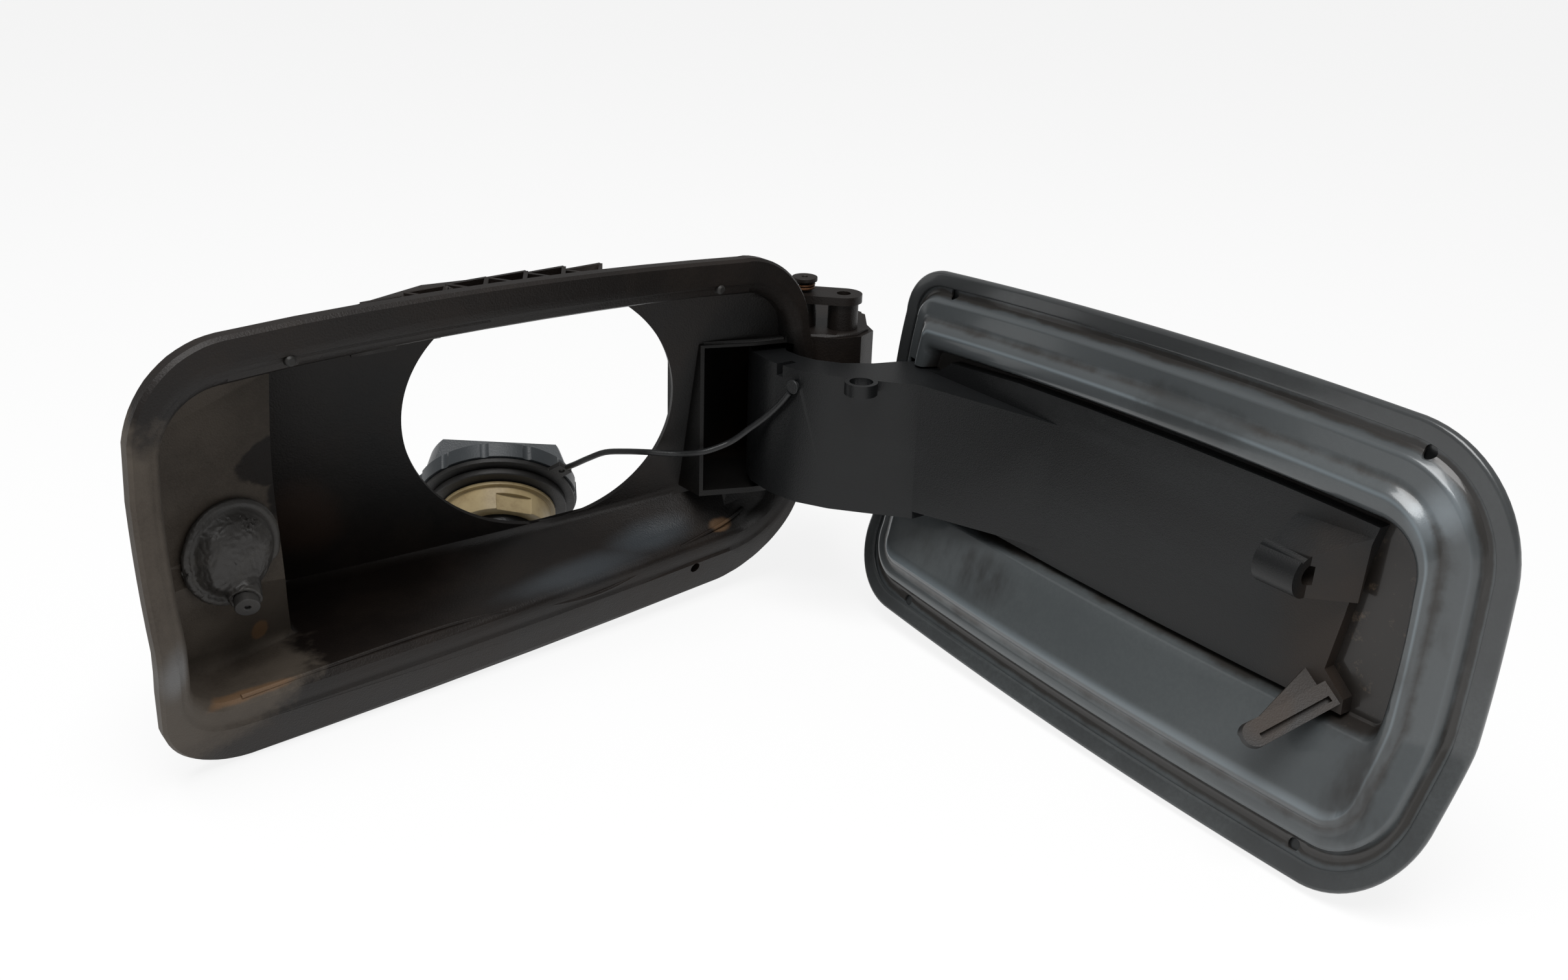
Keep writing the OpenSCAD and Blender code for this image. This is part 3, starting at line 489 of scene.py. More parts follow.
def doorOutline(insets):
    # the door's leaning outline, pulled in by the insets
    latch, hinge, low, high = insets
    left, right, bottom, top = doorSheet["sides"]
    left, right, bottom, top = left + latch, right - hinge, bottom + low, top - high
    pairs = ((high, hinge), (high, latch), (low, latch), (low, hinge))
    radii = [max(r - (a + b) / 2, 4) for r, (a, b) in zip(doorSheet["corners"], pairs)]
    centres = ((right - radii[0], top - radii[0]), (left + radii[1], top - radii[1]),
               (left + radii[2], bottom + radii[2]), (right - radii[3], bottom + radii[3]))
    ways = ((0, 1), (-1, 0), (0, -1), (1, 0))
    amounts = (doorSheet["bows"][0], doorSheet["bows"][2], doorSheet["bows"][1], doorSheet["bows"][3])
    arcs = []
    for i, (centre, radius) in enumerate(zip(centres, radii)):
        steps = doorSheet["cornerPoints"]
        angles = [math.radians(90 * (i + k / (steps - 1))) for k in range(steps)]
        arcs.append([(centre[0] + radius * math.cos(t), centre[1] + radius * math.sin(t)) for t in angles])
    points = []
    for i, arc in enumerate(arcs):
        points += arc
        a, b = arc[-1], arcs[(i + 1) % 4][0]
        count = doorSheet["sidePoints"]
        for k in range(1, count + 1):
            t = k / (count + 1)
            out = amounts[i] * (1 - (2 * t - 1) ** 2)
            points.append((a[0] + (b[0] - a[0]) * t + ways[i][0] * out,
                           a[1] + (b[1] - a[1]) * t + ways[i][1] * out))
    return [(x - doorLean * z, z * (1 - doorGrowth * x)) for x, z in points]


def doorRing(entry, back=0.0):
    insets, depth, share = entry
    ring = []
    for x, z in doorOutline(insets):
        fall = max(doorSheet["creaseFrom"] - z, 0)
        soft = doorSheet["creaseSoft"]
        crease = doorSheet["creaseSlope"] * (math.sqrt(fall * fall + soft * soft) - soft)
        ring.append(toOpenDoor(Vector((x, depth - back + share * crease, z))))
    return ring


def sheetFromRings(name, rings):
    # a disc on the first ring, its border extruded from ring to ring and closed at the last
    deselectAll()
    count = len(rings[0])
    bpy.ops.mesh.primitive_circle_add(vertices=count, radius=0.05, fill_type="NGON")
    sheet = bpy.context.object
    sheet.name = name
    for v, co in zip(sheet.data.vertices, rings[0]):
        v.co = co
    for ring in rings[1:]:
        bpy.ops.object.mode_set(mode="EDIT")
        bpy.ops.mesh.select_mode(type="EDGE")
        bpy.ops.mesh.select_all(action="DESELECT")
        bpy.ops.mesh.select_non_manifold(extend=False, use_wire=False, use_multi_face=False,
                                         use_non_contiguous=False, use_verts=False)
        bpy.ops.mesh.extrude_edges_move()
        bpy.ops.object.mode_set(mode="OBJECT")
        made = sheet.data.vertices[-count:]
        for v, co in zip(made, ring):
            v.co = co
    bpy.ops.object.mode_set(mode="EDIT")
    bpy.ops.mesh.select_all(action="DESELECT")
    bpy.ops.mesh.select_non_manifold(extend=False, use_wire=False, use_multi_face=False,
                                     use_non_contiguous=False, use_verts=False)
    bpy.ops.mesh.edge_face_add()
    bpy.ops.mesh.select_all(action="SELECT")
    bpy.ops.mesh.normals_make_consistent(inside=False)
    bpy.ops.mesh.select_all(action="DESELECT")
    bpy.ops.object.mode_set(mode="OBJECT")
    return sheet


def cutAway(obj, cutter):
    mod = obj.modifiers.new("cut", "BOOLEAN")
    mod.operation = "DIFFERENCE"
    mod.solver = "EXACT"
    mod.object = cutter
    applyAll(obj)
    bpy.data.objects.remove(cutter)


def drainCutter(x, z):
    deselectAll()
    radius = doorSheet["drainRadius"] / 1000
    bpy.ops.mesh.primitive_cylinder_add(vertices=32, radius=radius, depth=doorSheet["drainCut"] / 1000)
    cutter = bpy.context.object
    turn = Matrix.Rotation(doorAngle, 4, "Z") @ Matrix.Rotation(math.radians(90), 4, "X")
    place = toOpenDoor(Vector((x, doorSheet["drainLevel"], z)))
    cutter.data.transform(Matrix.Translation(place) @ turn)
    return cutter


def roomCutter():
    # room for the arm where it passes the panel's ridge
    deselectAll()
    bpy.ops.mesh.primitive_cube_add(size=1)
    cutter = bpy.context.object
    middle, size = doorSheet["armRoomMiddle"], doorSheet["armRoomSize"]
    for v in cutter.data.vertices:
        v.co = toOpenDoor(Vector([m + s * c for m, s, c in zip(middle, size, v.co)]))
    return cutter


def shadeRings(panel, rings):
    # how far each point lies in a groove (below 0) or on a crest (above 0), for the painted shade and dirt in
    # grooves and the painted highlights on crests
    tree = KDTree(len(rings) * len(rings[0]))
    for k, ring in enumerate(rings):
        for co in ring:
            tree.insert(co, k)
    tree.balance()
    shade = panel.data.attributes.new("shade", "FLOAT", "POINT")
    for v, item in zip(panel.data.vertices, shade.data):
        item.value = panelShade[tree.find(v.co)[1]]


def makeDoorPanel():
    thick = doorSheet["panelThickness"]
    rings = [doorRing(entry) for entry in panelProfile]
    rings += [doorRing(entry, thick) for entry in panelProfile[::-1]]
    panel = sheetFromRings("pressedPanel", rings)
    cutAway(panel, roomCutter())
    for x, z in doorSheet["drains"]:
        cutAway(panel, drainCutter(x, z))
    shadeRings(panel, rings[:len(panelProfile)])
    smooth(panel, 35, True)
    standFor(panel, "inner_panel")
    return panel


def makeDoorSkin():
    skin = sheetFromRings("outerSkin", [doorRing(entry) for entry in skinProfile])
    smooth(skin, 35, True)
    standFor(skin, "outer_skin")
    return skin


panelPiece = makeDoorPanel()
skinPiece = makeDoorSkin()
print("door made:", len(panelPiece.data.polygons) + len(skinPiece.data.polygons), "faces")

# pieces that keep their solid's shape, with soft edges
housingPiece = finePiece("housing", "fillerHousing", 30, refine=refineHousing, prepare=roundCorners)
armPiece = finePiece("door_arm", "hingeArm", 35, 0.0006, refine=refineArm)
capHeadPiece = finePiece("cap_head", "capHead", 40, 0.0007)
capRingPiece = finePiece("cap_ring", "capRing", 40, 0.0003)
capSealPiece = finePiece("cap_seal", "capSeal", 40, 0.0005)
capInsertPiece = finePiece("cap_insert", "capInsert", 40, 0.0006)
capValvePiece = finePiece("cap_valve", "capValve", 40, 0.0008)
bufferPieces = finePiece("door_buffers", "doorBuffers", 40, 0.0002, refine=refineHousing)
pinPiece = finePiece("hinge_pin", "hingePin", 40, 0.0003)
clipPiece = finePiece("pin_clip", "pinClip", 40, 0.0001)
postPiece = finePiece("spring_post", "springPost", 40, 0.0003)
springPiece = finePiece("hinge_spring", "hingeSpring", 60)
lockPiece = finePiece("lock_pin", "lockPin", 40, 0.0004, refine=refineLock)
tetherClipPiece = finePiece("tether_clip", "tetherClip", 40, 0.0003)
print("carried-over pieces made")

# rubber boot: remeshed from its solid, then wrinkled
bootShape = {
    "voxel": 0.00055,
    "wrinkle": 0.0012,
    "wrinkleSize": 0.010,
    "wrinkleShift": (3.1, 0, 7.7),
    "sink": 0.2,
    "crumple": 0.0004,
    "crumpleSize": 0.0028,
    "crumpleShift": (9.2, 4.0, 0),
    "crumpleSharpness": 2.2,
    "centre": (-0.1201, 0.1182, 0.0748),
    "foot": 0.0022,
    "footFade": 0.003,
}


def makeBoot():
    boot = finePiece("latch_boot", "latchBoot")
    remesh = boot.modifiers.new("even", "REMESH")
    remesh.mode = "VOXEL"
    remesh.voxel_size = bootShape["voxel"]
    applyAll(boot)
    shape = bootShape
    centre = Vector(shape["centre"])
    for v in boot.data.vertices:
        # the foot, where the boot sits in its shelf, stays even
        rise = (centre - v.co).y
        if rise < shape["foot"]:
            continue
        share = min((rise - shape["foot"]) / shape["footFade"], 1.0)
        big = noise.noise(v.co / shape["wrinkleSize"] + Vector(shape["wrinkleShift"]))
        small = abs(noise.noise(v.co / shape["crumpleSize"] + Vector(shape["crumpleShift"])))
        fold = 1 - small * shape["crumpleSharpness"]
        push = shape["wrinkle"] * (big - shape["sink"]) - shape["crumple"] * max(fold, 0) ** 3
        v.co += v.normal * share * push
    relax = boot.modifiers.new("relax", "SMOOTH")
    relax.factor = 0.5
    relax.iterations = 2
    applyAll(boot)
    smooth(boot, 80)
    return boot


bootPiece = makeBoot()
print("boot made")

# beads of the housing's moulding
beadShapes = {
    "lowerWave": {
        "radius": 0.0009,
        "points": [(-0.1300, 0.0975, 0.0285), (-0.1050, 0.0985, 0.0278), (-0.0822, 0.0992, 0.0285),
                   (-0.0465, 0.0994, 0.0290), (-0.0264, 0.0973, 0.0290), (0.0118, 0.0961, 0.0224),
                   (0.0345, 0.0953, 0.0240), (0.0671, 0.0972, 0.0318), (0.0935, 0.0988, 0.0344),
                   (0.1020, 0.0970, 0.0400)],
    },
}


def makeBead(name):
    settings = beadShapes[name]
    mesh = housingPiece.data
    corners = [v.co for v in mesh.vertices]
    surface = BVHTree.FromPolygons(corners, [list(f.vertices) for f in mesh.polygons])
    seated = []
    for point in settings["points"]:
        near, normal = surface.find_nearest(Vector(point))[:2]
        seated.append(near + normal * settings["radius"] * 0.25)
    bead = toMesh(sweptTube(name + "Bead", seated, settings["radius"]))
    smooth(bead, 60)
    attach(bead, "housing_body")
    return bead


beadPiece = makeBead("lowerWave")
print("beads made")


# node groups shared by the materials
def newGroup(name, inputs, outputs):
    tree = bpy.data.node_groups.new(name, "ShaderNodeTree")
    for kind, label, value in inputs:
        socket = tree.interface.new_socket(name=label, in_out="INPUT", socket_type="NodeSocket" + kind)
        if value is not None:
            socket.default_value = value
    for kind, label in outputs:
        tree.interface.new_socket(name=label, in_out="OUTPUT", socket_type="NodeSocket" + kind)
    return tree, tree.nodes.new("NodeGroupInput"), tree.nodes.new("NodeGroupOutput")


def mathNode(tree, kind, a, b=None, clamp=False):
    node = tree.nodes.new("ShaderNodeMath")
    node.operation = kind
    node.use_clamp = clamp
    for i, value in enumerate((a, b)):
        if value is None:
            continue
        if isinstance(value, (int, float)):
            node.inputs[i].default_value = value
        else:
            tree.links.new(value, node.inputs[i])
    return node.outputs[0]


def noiseNode(tree, vector, scale, detail=4.0, roughness=0.55):
    node = tree.nodes.new("ShaderNodeTexNoise")
    node.inputs["Detail"].default_value = detail
    node.inputs["Roughness"].default_value = roughness
    tree.links.new(vector, node.inputs["Vector"])
    if isinstance(scale, (int, float)):
        node.inputs["Scale"].default_value = scale
    else:
        tree.links.new(scale, node.inputs["Scale"])
    return node.outputs["Fac"]


def rangeNode(tree, value, low, high, toLow=0.0, toHigh=1.0, smoothed=True):
    node = tree.nodes.new("ShaderNodeMapRange")
    node.interpolation_type = "SMOOTHSTEP" if smoothed else "LINEAR"
    labels = ("Value", "From Min", "From Max", "To Min", "To Max")
    for label, item in zip(labels, (value, low, high, toLow, toHigh)):
        if isinstance(item, (int, float)):
            node.inputs[label].default_value = item
        else:
            tree.links.new(item, node.inputs[label])
    return node.outputs[0]


def mixColours(tree, factor, a, b, blend="MIX"):
    node = tree.nodes.new("ShaderNodeMix")
    node.data_type = "RGBA"
    node.blend_type = blend
    for socket, item in ((node.inputs[0], factor), (node.inputs[6], a), (node.inputs[7], b)):
        if isinstance(item, (int, float, tuple)):
            socket.default_value = item
        else:
            tree.links.new(item, socket)
    return node.outputs[2]


def makeSpotGroup():
    # a mask round a place on the piece, with an edge made uneven by noise
    tree, start, end = newGroup("stainSpot", [
        ("Vector", "Place", None), ("Vector", "Centre", (0, 0, 0)), ("Vector", "Reach", (0.01, 0.01, 0.01)),
        ("Float", "Softness", 0.3), ("Float", "Ragged", 0.3), ("Float", "Ragged Scale", 60.0)],
        [("Float", "Mask")])
    away = tree.nodes.new("ShaderNodeVectorMath")
    away.operation = "SUBTRACT"
    tree.links.new(start.outputs["Place"], away.inputs[0])
    tree.links.new(start.outputs["Centre"], away.inputs[1])
    scaled = tree.nodes.new("ShaderNodeVectorMath")
    scaled.operation = "DIVIDE"
    tree.links.new(away.outputs[0], scaled.inputs[0])
    tree.links.new(start.outputs["Reach"], scaled.inputs[1])
    length = tree.nodes.new("ShaderNodeVectorMath")
    length.operation = "LENGTH"
    tree.links.new(scaled.outputs[0], length.inputs[0])
    rough = noiseNode(tree, start.outputs["Place"], start.outputs["Ragged Scale"], 5.0, 0.6)
    uneven = mathNode(tree, "MULTIPLY", mathNode(tree, "SUBTRACT", rough, 0.5), start.outputs["Ragged"])
    total = mathNode(tree, "ADD", length.outputs["Value"], mathNode(tree, "MULTIPLY", uneven, 2.0))
    low = mathNode(tree, "SUBTRACT", 1.0, start.outputs["Softness"])
    tree.links.new(rangeNode(tree, total, low, 1.0, 1.0, 0.0), end.inputs["Mask"])
    return tree


def makeDustGroup():
    # patchy film of dust: broad clouds broken up by fine specks
    tree, start, end = newGroup("dustFilm", [
        ("Vector", "Place", None), ("Float", "Cloud Scale", 12.0), ("Float", "Speck Scale", 400.0),
        ("Float", "Amount", 0.5)], [("Float", "Mask")])
    clouds = noiseNode(tree, start.outputs["Place"], start.outputs["Cloud Scale"], 6.0, 0.6)
    specks = noiseNode(tree, start.outputs["Place"], start.outputs["Speck Scale"], 3.0, 0.7)
    film = rangeNode(tree, clouds, 0.38, 0.68)
    grains = rangeNode(tree, specks, 0.35, 0.65, 0.55, 1.0)
    patches = mathNode(tree, "MULTIPLY", film, grains)
    tree.links.new(mathNode(tree, "MULTIPLY", patches, start.outputs["Amount"], True), end.inputs["Mask"])
    return tree


def makeStreakGroup():
    # wiping marks: long noise across one direction
    tree, start, end = newGroup("wipeStreaks", [
        ("Vector", "Place", None), ("Vector", "Stretch", (1, 1, 1)), ("Float", "Scale", 60.0),
        ("Float", "Contrast", 0.12)], [("Float", "Mask")])
    pull = tree.nodes.new("ShaderNodeVectorMath")
    pull.operation = "MULTIPLY"
    tree.links.new(start.outputs["Place"], pull.inputs[0])
    tree.links.new(start.outputs["Stretch"], pull.inputs[1])
    lines = noiseNode(tree, pull.outputs[0], start.outputs["Scale"], 4.0, 0.6)
    low = mathNode(tree, "SUBTRACT", 0.52, start.outputs["Contrast"])
    high = mathNode(tree, "ADD", 0.52, start.outputs["Contrast"])
    tree.links.new(rangeNode(tree, lines, low, high), end.inputs["Mask"])
    return tree


def makeGrainGroup():
    # fine moulded grain as a height
    tree, start, end = newGroup("mouldedGrain", [
        ("Vector", "Place", None), ("Float", "Grain Scale", 900.0), ("Float", "Wave Scale", 45.0),
        ("Float", "Wave", 0.5)], [("Float", "Height")])
    fine = noiseNode(tree, start.outputs["Place"], start.outputs["Grain Scale"], 2.0, 0.5)
    broad = noiseNode(tree, start.outputs["Place"], start.outputs["Wave Scale"], 2.0, 0.5)
    tree.links.new(mathNode(tree, "ADD", fine, mathNode(tree, "MULTIPLY", broad, start.outputs["Wave"])),
                   end.inputs["Height"])
    return tree


stainSpot = makeSpotGroup()
dustFilm = makeDustGroup()
wipeStreaks = makeStreakGroup()
mouldedGrain = makeGrainGroup()


class Finish:
    # a material under work: its tree, its shader and the place on the piece
    def __init__(self, name, colour, roughness, specular=0.5, metallic=0.0, coat=0.0, coatRoughness=0.1):
        self.material = bpy.data.materials.new(name)
        self.material.use_nodes = True
        self.material.diffuse_color = hexColour(colour)
        self.tree = self.material.node_tree
        self.shader = self.tree.nodes["Principled BSDF"]
        self.shader.inputs["Specular IOR Level"].default_value = specular
        self.shader.inputs["Metallic"].default_value = metallic
        self.shader.inputs["Coat Weight"].default_value = coat
        self.shader.inputs["Coat Roughness"].default_value = coatRoughness
        self.place = self.tree.nodes.new("ShaderNodeTexCoord").outputs["Object"]
        self.colour = hexColour(colour)
        self.roughness = roughness

    def group(self, tree, **values):
        node = self.tree.nodes.new("ShaderNodeGroup")
        node.node_tree = tree
        self.tree.links.new(self.place, node.inputs["Place"])
        for label, value in values.items():
            # a value called cloudScale goes to the socket Cloud Scale
            socket = "".join(" " + c if c.isupper() else c for c in label).title()
            node.inputs[socket].default_value = value
        return node.outputs[0]

    def spot(self, centre, reach, softness=0.4, ragged=0.25, scale=60.0, strength=1.0):
        mask = self.group(stainSpot, centre=centre, reach=reach, softness=softness, ragged=ragged,
                          raggedScale=scale)
        return mathNode(self.tree, "MULTIPLY", mask, strength) if strength != 1.0 else mask

    def either(self, *masks):
        out = masks[0]
        for mask in masks[1:]:
            out = mathNode(self.tree, "MAXIMUM", out, mask)
        return out

    def times(self, a, b):
        return mathNode(self.tree, "MULTIPLY", a, b)

    def tint(self, mask, colour, roughness=None):
        self.colour = mixColours(self.tree, mask, self.colour, hexColour(colour))
        if roughness is not None:
            node = self.tree.nodes.new("ShaderNodeMix")
            self.tree.links.new(mask, node.inputs[0])
            if isinstance(self.roughness, (int, float)):
                node.inputs[2].default_value = self.roughness
            else:
                self.tree.links.new(self.roughness, node.inputs[2])
            node.inputs[3].default_value = roughness
            self.roughness = node.outputs[0]

    def bump(self, height, strength, distance):
        node = self.tree.nodes.new("ShaderNodeBump")
        node.inputs["Strength"].default_value = strength
        node.inputs["Distance"].default_value = distance
        self.tree.links.new(height, node.inputs["Height"])
        self.tree.links.new(node.outputs[0], self.shader.inputs["Normal"])

    def done(self):
        if isinstance(self.colour, tuple):
            self.shader.inputs["Base Color"].default_value = self.colour
        else:
            self.tree.links.new(self.colour, self.shader.inputs["Base Color"])
        if isinstance(self.roughness, (int, float)):
            self.shader.inputs["Roughness"].default_value = self.roughness
        else:
            self.tree.links.new(self.roughness, self.shader.inputs["Roughness"])
        return self.material


# materials
def housingFinish():
    f = Finish("dustyHousingPlastic", "120d0a", 0.48, 0.3)
    # painted shade: the pot's deep floor is darkened to near black
    deepFloorShade = f.spot((0.03, 0.150, 0.090), (0.115, 0.040, 0.075), 0.35, 0.2, 25.0)
    f.tint(deepFloorShade, "070606", 0.5)
    # dust on the latch end, with its ragged border
    latchEnd = f.spot((-0.150, 0.130, 0.082), (0.076, 0.075, 0.088), 0.10, 0.20, 45.0)
    bare = f.either(
        f.spot((-0.093, 0.130, 0.104), (0.022, 0.050, 0.011), 0.12, 0.35, 90.0),
        f.spot((-0.088, 0.130, 0.088), (0.016, 0.050, 0.014), 0.12, 0.35, 90.0))
    covered = mathNode(f.tree, "SUBTRACT", 1.0, bare)
    f.tint(f.times(latchEnd, covered), "4a433b", 0.62)
    cloud = f.group(dustFilm, cloudScale=30.0, speckScale=900.0, amount=0.5)
    f.tint(cloud, "251d17", 0.6)
    # painted shade: the pocket beside the pot is darkened to near black
    pocketShade = f.spot((0.100, 0.100, 0.085), (0.034, 0.040, 0.064), 0.25, 0.1, 40.0)
    f.tint(pocketShade, "080706", 0.55)
    # painted sheen: a lighter, glossier band on the pot's lower floor
    lowerFloorSheen = f.either(
        f.spot((0.020, 0.1035, 0.031), (0.050, 0.012, 0.008), 0.8, 0.15, 40.0, 0.55),
        f.spot((0.056, 0.106, 0.036), (0.030, 0.012, 0.010), 0.8, 0.15, 40.0, 0.6))
    f.tint(lowerFloorSheen, "454b50", 0.32)
    rust = f.spot((-0.072, 0.168, 0.056), (0.020, 0.03, 0.022), 0.6, 0.35, 60.0, 0.8)
    f.tint(rust, "2c1e15")
    tan = f.either(
        f.spot((-0.1085, 0.128, 0.0354), (0.004, 0.006, 0.005), 0.3, 0.3, 180.0, 0.8),
        f.spot((-0.128, 0.0965, 0.0290), (0.022, 0.006, 0.0026), 0.5, 0.3, 120.0, 0.7),
        f.spot((0.090, 0.099, 0.0345), (0.007, 0.004, 0.004), 0.5, 0.3, 120.0, 0.6))
    f.tint(tan, "6b5138", 0.5)
    sheen = f.spot((-0.157, 0.082, 0.054), (0.008, 0.012, 0.016), 0.8, 0.1, 60.0, 0.8)
    f.tint(sheen, "5c5c5c", 0.35)
    f.bump(f.group(mouldedGrain, grainScale=1400.0, waveScale=60.0, wave=1.6), 0.35, 0.0004)
    return f.done()


def armFinish():
    f = Finish("satinArmPlastic", "111213", 0.42, 0.35)
    streaks = f.group(wipeStreaks, stretch=(1.0, 0.25, 1.6), scale=40.0, contrast=0.16)
    f.tint(f.times(streaks, f.group(dustFilm, cloudScale=14.0, speckScale=700.0, amount=0.8)), "1d1f20", 0.5)
    dirt = f.either(
        f.spot((0.1180, -0.172, 0.080), (0.02, 0.034, 0.050), 0.8, 0.35, 50.0, 0.6),
        f.spot((0.108, -0.164, 0.056), (0.02, 0.010, 0.014), 0.6, 0.3, 60.0, 0.8))
    f.tint(dirt, "33281f", 0.55)
    f.bump(f.group(mouldedGrain, grainScale=1800.0, waveScale=30.0, wave=1.2), 0.25, 0.0003)
    return f.done()


def panelFinish(name, base, coat, stained=True):
    f = Finish(name, base, 0.32, 0.5, 0.25, coat, 0.12)
    film = f.group(dustFilm, cloudScale=9.0, speckScale=600.0, amount=0.6)
    f.tint(film, "565b5c", 0.4)
    if not stained:
        f.bump(f.group(mouldedGrain, grainScale=2200.0, waveScale=70.0, wave=2.0), 0.12, 0.0002)
        return f.done()
    shade = f.tree.nodes.new("ShaderNodeAttribute")
    shade.attribute_name = "shade"
    # painted highlight: the crests of the ridges are painted lighter and glossier
    f.tint(rangeNode(f.tree, shade.outputs["Fac"], 0.1, 0.5, 0.0, 0.5), "7d888e", 0.26)
    # painted highlight at a corner of the ridge
    edge = f.spot((0.113, -0.199, 0.137), (0.020, 0.012, 0.014), 0.8, 0.2, 60.0, 0.7)
    f.tint(edge, "8d979d", 0.24)
    # painted shade together with dirt: the grooves and valleys are darkened, in patches
    grooveDirtAndShade = noiseNode(f.tree, f.place, 55.0, 5.0, 0.6)
    patches = rangeNode(f.tree, grooveDirtAndShade, 0.3, 0.7, -0.3, 0.3, False)
    uneven = mathNode(f.tree, "ADD", shade.outputs["Fac"], patches)
    f.tint(rangeNode(f.tree, uneven, -0.25, -0.9, 0.0, 0.9), "26221e", 0.5)
    blotch = f.spot((0.137, -0.105, 0.134), (0.02, 0.040, 0.012), 0.4, 0.5, 70.0, 0.75)
    f.tint(blotch, "383b3c", 0.36)
    streaks = f.group(wipeStreaks, stretch=(1.0, 1.0, 0.35), scale=55.0, contrast=0.12)
    dark = f.either(
        f.spot((0.112, -0.200, 0.040), (0.03, 0.022, 0.030), 0.8, 0.35, 60.0, 0.9),
        f.spot((0.123, -0.206, 0.080), (0.02, 0.014, 0.030), 0.8, 0.35, 60.0, 0.8),
        f.spot((0.130, -0.010, 0.044), (0.02, 0.050, 0.014), 0.8, 0.35, 60.0, 0.8))
    f.tint(f.times(dark, streaks), "2c2b2a", 0.5)
    recess = f.spot((0.125, -0.184, 0.088), (0.016, 0.018, 0.050), 0.4, 0.25, 80.0)
    f.tint(recess, "1e1915", 0.5)
    specks = rangeNode(f.tree, noiseNode(f.tree, f.place, 160.0, 6.0, 0.75), 0.56, 0.72, 0.0, 0.7)
    f.tint(f.times(recess, specks), "5a4c3d", 0.5)
    f.bump(f.group(mouldedGrain, grainScale=2200.0, waveScale=70.0, wave=2.0), 0.12, 0.0002)
    return f.done()


def rubberFinish(name, base, roughness, dust, amount):
    f = Finish(name, base, roughness, 0.4)
    f.tint(f.group(dustFilm, cloudScale=60.0, speckScale=1200.0, amount=amount), dust, 0.7)
    f.bump(f.group(mouldedGrain, grainScale=1500.0, waveScale=160.0, wave=1.5), 0.3, 0.0003)
    return f.done()


def steelFinish(name, base, rust, amount):
    f = Finish(name, base, 0.38, 0.5, 0.9)
    f.tint(f.group(dustFilm, cloudScale=220.0, speckScale=1500.0, amount=amount), rust, 0.75)
    f.bump(f.group(mouldedGrain, grainScale=2500.0, waveScale=300.0, wave=1.0), 0.3, 0.0002)
    return f.done()


def insertFinish():
    f = Finish("creamInsertPlastic", "b3a078", 0.38, 0.5)
    f.tint(f.group(dustFilm, cloudScale=70.0, speckScale=900.0, amount=0.7), "8a7550", 0.5)
    f.tint(f.spot((0.02, 0.150, 0.02), (0.03, 0.012, 0.03), 0.8, 0.3, 120.0, 0.4), "57472f")
    f.bump(f.group(mouldedGrain, grainScale=1500.0, waveScale=80.0, wave=1.0), 0.15, 0.0002)
    return f.done()


def capFinish():
    f = Finish("satinCapPlastic", "2e3235", 0.4, 0.5)
    f.tint(f.group(dustFilm, cloudScale=35.0, speckScale=900.0, amount=0.6), "43474a", 0.5)
    f.bump(f.group(mouldedGrain, grainScale=1500.0, waveScale=90.0, wave=1.0), 0.25, 0.0003)
    return f.done()


finishes = {
    "housing": housingFinish(),
    "arm": armFinish(),
    "panel": panelFinish("paintedPanel", "4a4e50", 0.5),
    "skin": panelFinish("paintedSkin", "393b3c", 0.5, False),
    "boot": rubberFinish("greyBootRubber", "302e2c", 0.45, "47443f", 0.6),
    "lock": rubberFinish("greyLockPlastic", "2c2b2a", 0.45, "3e3b37", 0.6),
    "black": rubberFinish("blackRubber", "191817", 0.5, "2c2926", 0.5),
    "tether": rubberFinish("tetherRubber", "1c1d1e", 0.38, "2e2e2e", 0.4),
    "pin": steelFinish("dullPinSteel", "6a6866", "4a3a2e", 0.5),
    "spring": steelFinish("rustySpringSteel", "5a4636", "6b3f22", 0.9),
    "cap": capFinish(),
    "insert": insertFinish(),
    "valve": rubberFinish("blackValvePlastic", "121212", 0.3, "242220", 0.3),
}


def dress(obj, name):
    obj.data.materials.clear()
    obj.data.materials.append(finishes[name])


for piece, name in (
        (housingPiece, "housing"), (beadPiece, "housing"), (armPiece, "arm"), (panelPiece, "panel"),
        (skinPiece, "skin"), (bootPiece, "boot"), (lockPiece, "lock"), (capHeadPiece, "cap"),
        (capRingPiece, "black"), (capSealPiece, "black"), (capInsertPiece, "insert"),
        (capValvePiece, "valve"), (bufferPieces, "black"), (pinPiece, "pin"), (clipPiece, "pin"),
        (postPiece, "housing"), (springPiece, "spring"), (tetherClipPiece, "tether"), (tetherPiece, "tether")):
    dress(piece, name)
print("materials made:", len(finishes))

# floor and light
studio = {
    "floorSize": 40.0,
    "floorShade": "f4f4f4",
    "floorGlow": 0.85,
    "worldStrength": 0.34,
    "overheadWatts": 25.0,
    "overheadSize": 1.0,
    "overheadPlace": (-0.35, -0.35, 1.5),
}


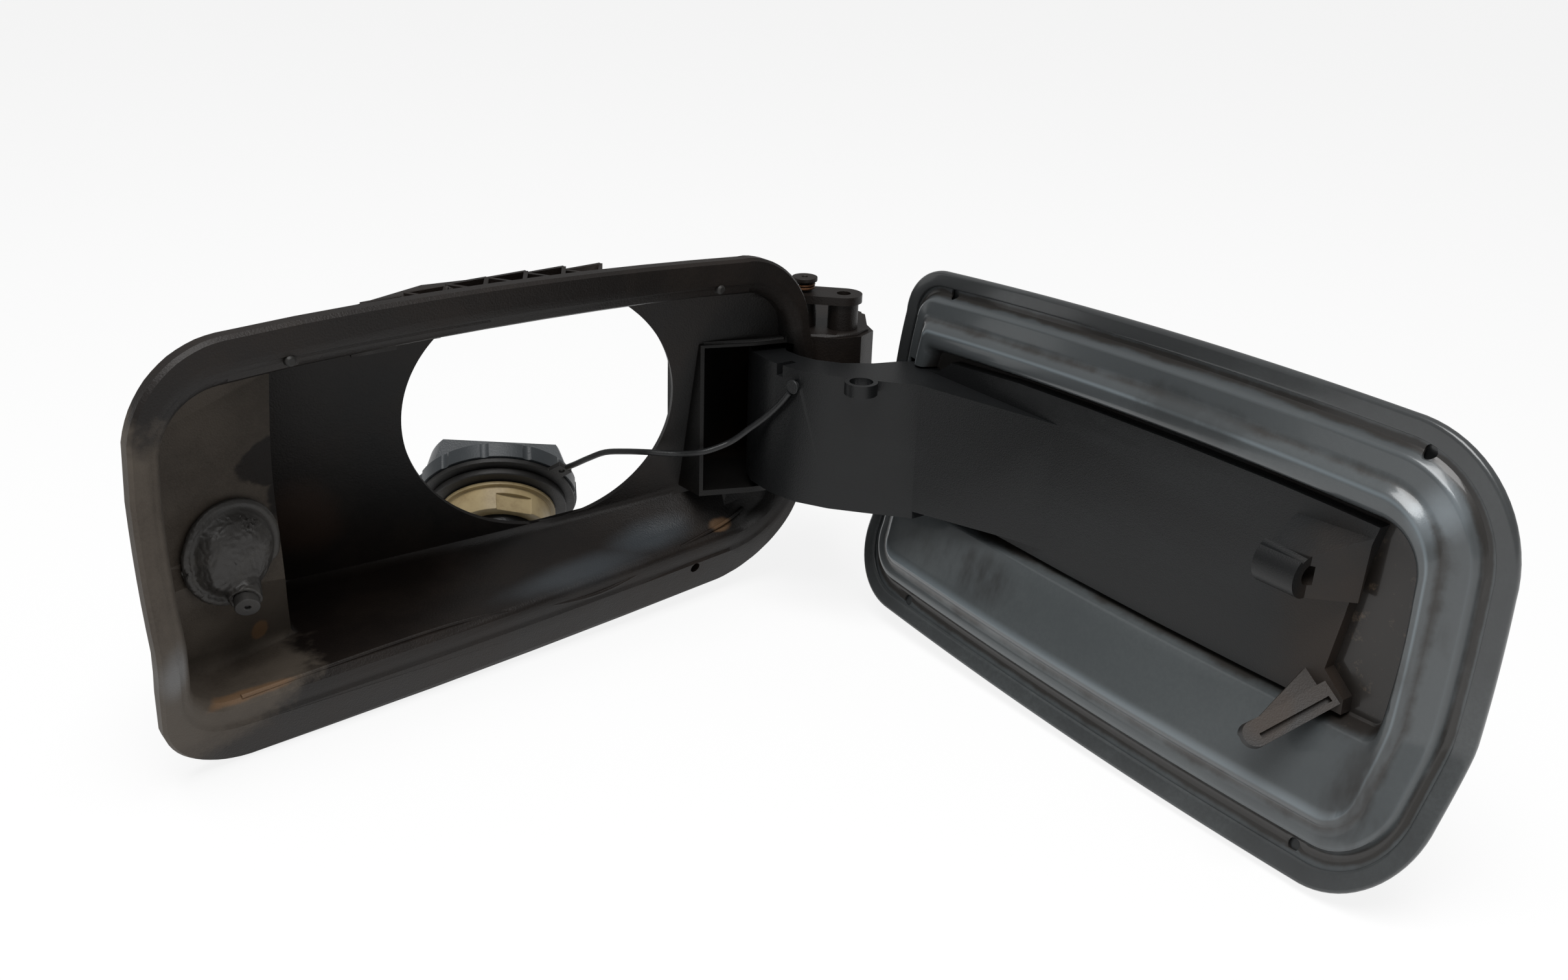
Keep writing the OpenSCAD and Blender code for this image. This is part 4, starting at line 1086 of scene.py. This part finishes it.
def makeFloor():
    deselectAll()
    bpy.ops.mesh.primitive_plane_add(size=studio["floorSize"], location=(0, 0, 0))
    floor = bpy.context.object
    floor.name = "studioFloor"
    pale = bpy.data.materials.new("paleFloor")
    pale.use_nodes = True
    tree = pale.node_tree
    base = tree.nodes["Principled BSDF"]
    base.inputs["Base Color"].default_value = hexColour(studio["floorShade"])
    base.inputs["Roughness"].default_value = 0.9
    glow = tree.nodes.new("ShaderNodeEmission")
    path = tree.nodes.new("ShaderNodeLightPath")
    seen = mathNode(tree, "MAXIMUM", path.outputs["Is Camera Ray"], path.outputs["Is Glossy Ray"])
    seen = mathNode(tree, "MAXIMUM", seen, path.outputs["Is Transmission Ray"])
    mix = tree.nodes.new("ShaderNodeMixShader")
    tree.links.new(mathNode(tree, "MULTIPLY", seen, studio["floorGlow"]), mix.inputs[0])
    tree.links.new(base.outputs[0], mix.inputs[1])
    tree.links.new(glow.outputs[0], mix.inputs[2])
    tree.links.new(mix.outputs[0], tree.nodes["Material Output"].inputs["Surface"])
    floor.data.materials.append(pale)


def makeLights():
    world = bpy.data.worlds.new("studioWorld")
    bpy.context.scene.world = world
    world.use_nodes = True
    tree = world.node_tree
    back = tree.nodes["Background"]
    back.inputs["Color"].default_value = (1, 1, 1, 1)
    path = tree.nodes.new("ShaderNodeLightPath")
    seen = mathNode(tree, "MAXIMUM", path.outputs["Is Camera Ray"], path.outputs["Is Transmission Ray"])
    strength = rangeNode(tree, seen, 0.0, 1.0, studio["worldStrength"], 1.0, False)
    tree.links.new(strength, back.inputs["Strength"])
    lamp = bpy.data.lights.new("overheadLamp", "AREA")
    lamp.energy = studio["overheadWatts"]
    lamp.size = studio["overheadSize"]
    obj = bpy.data.objects.new("overheadLamp", lamp)
    obj.location = studio["overheadPlace"]
    aim = Vector((0.0, 0.0, 0.05)) - obj.location
    obj.rotation_euler = aim.to_track_quat("-Z", "Y").to_euler()
    bpy.context.scene.collection.objects.link(obj)


makeFloor()
makeLights()
bpy.context.scene.view_settings.view_transform = "Standard"
print("floor and light made")
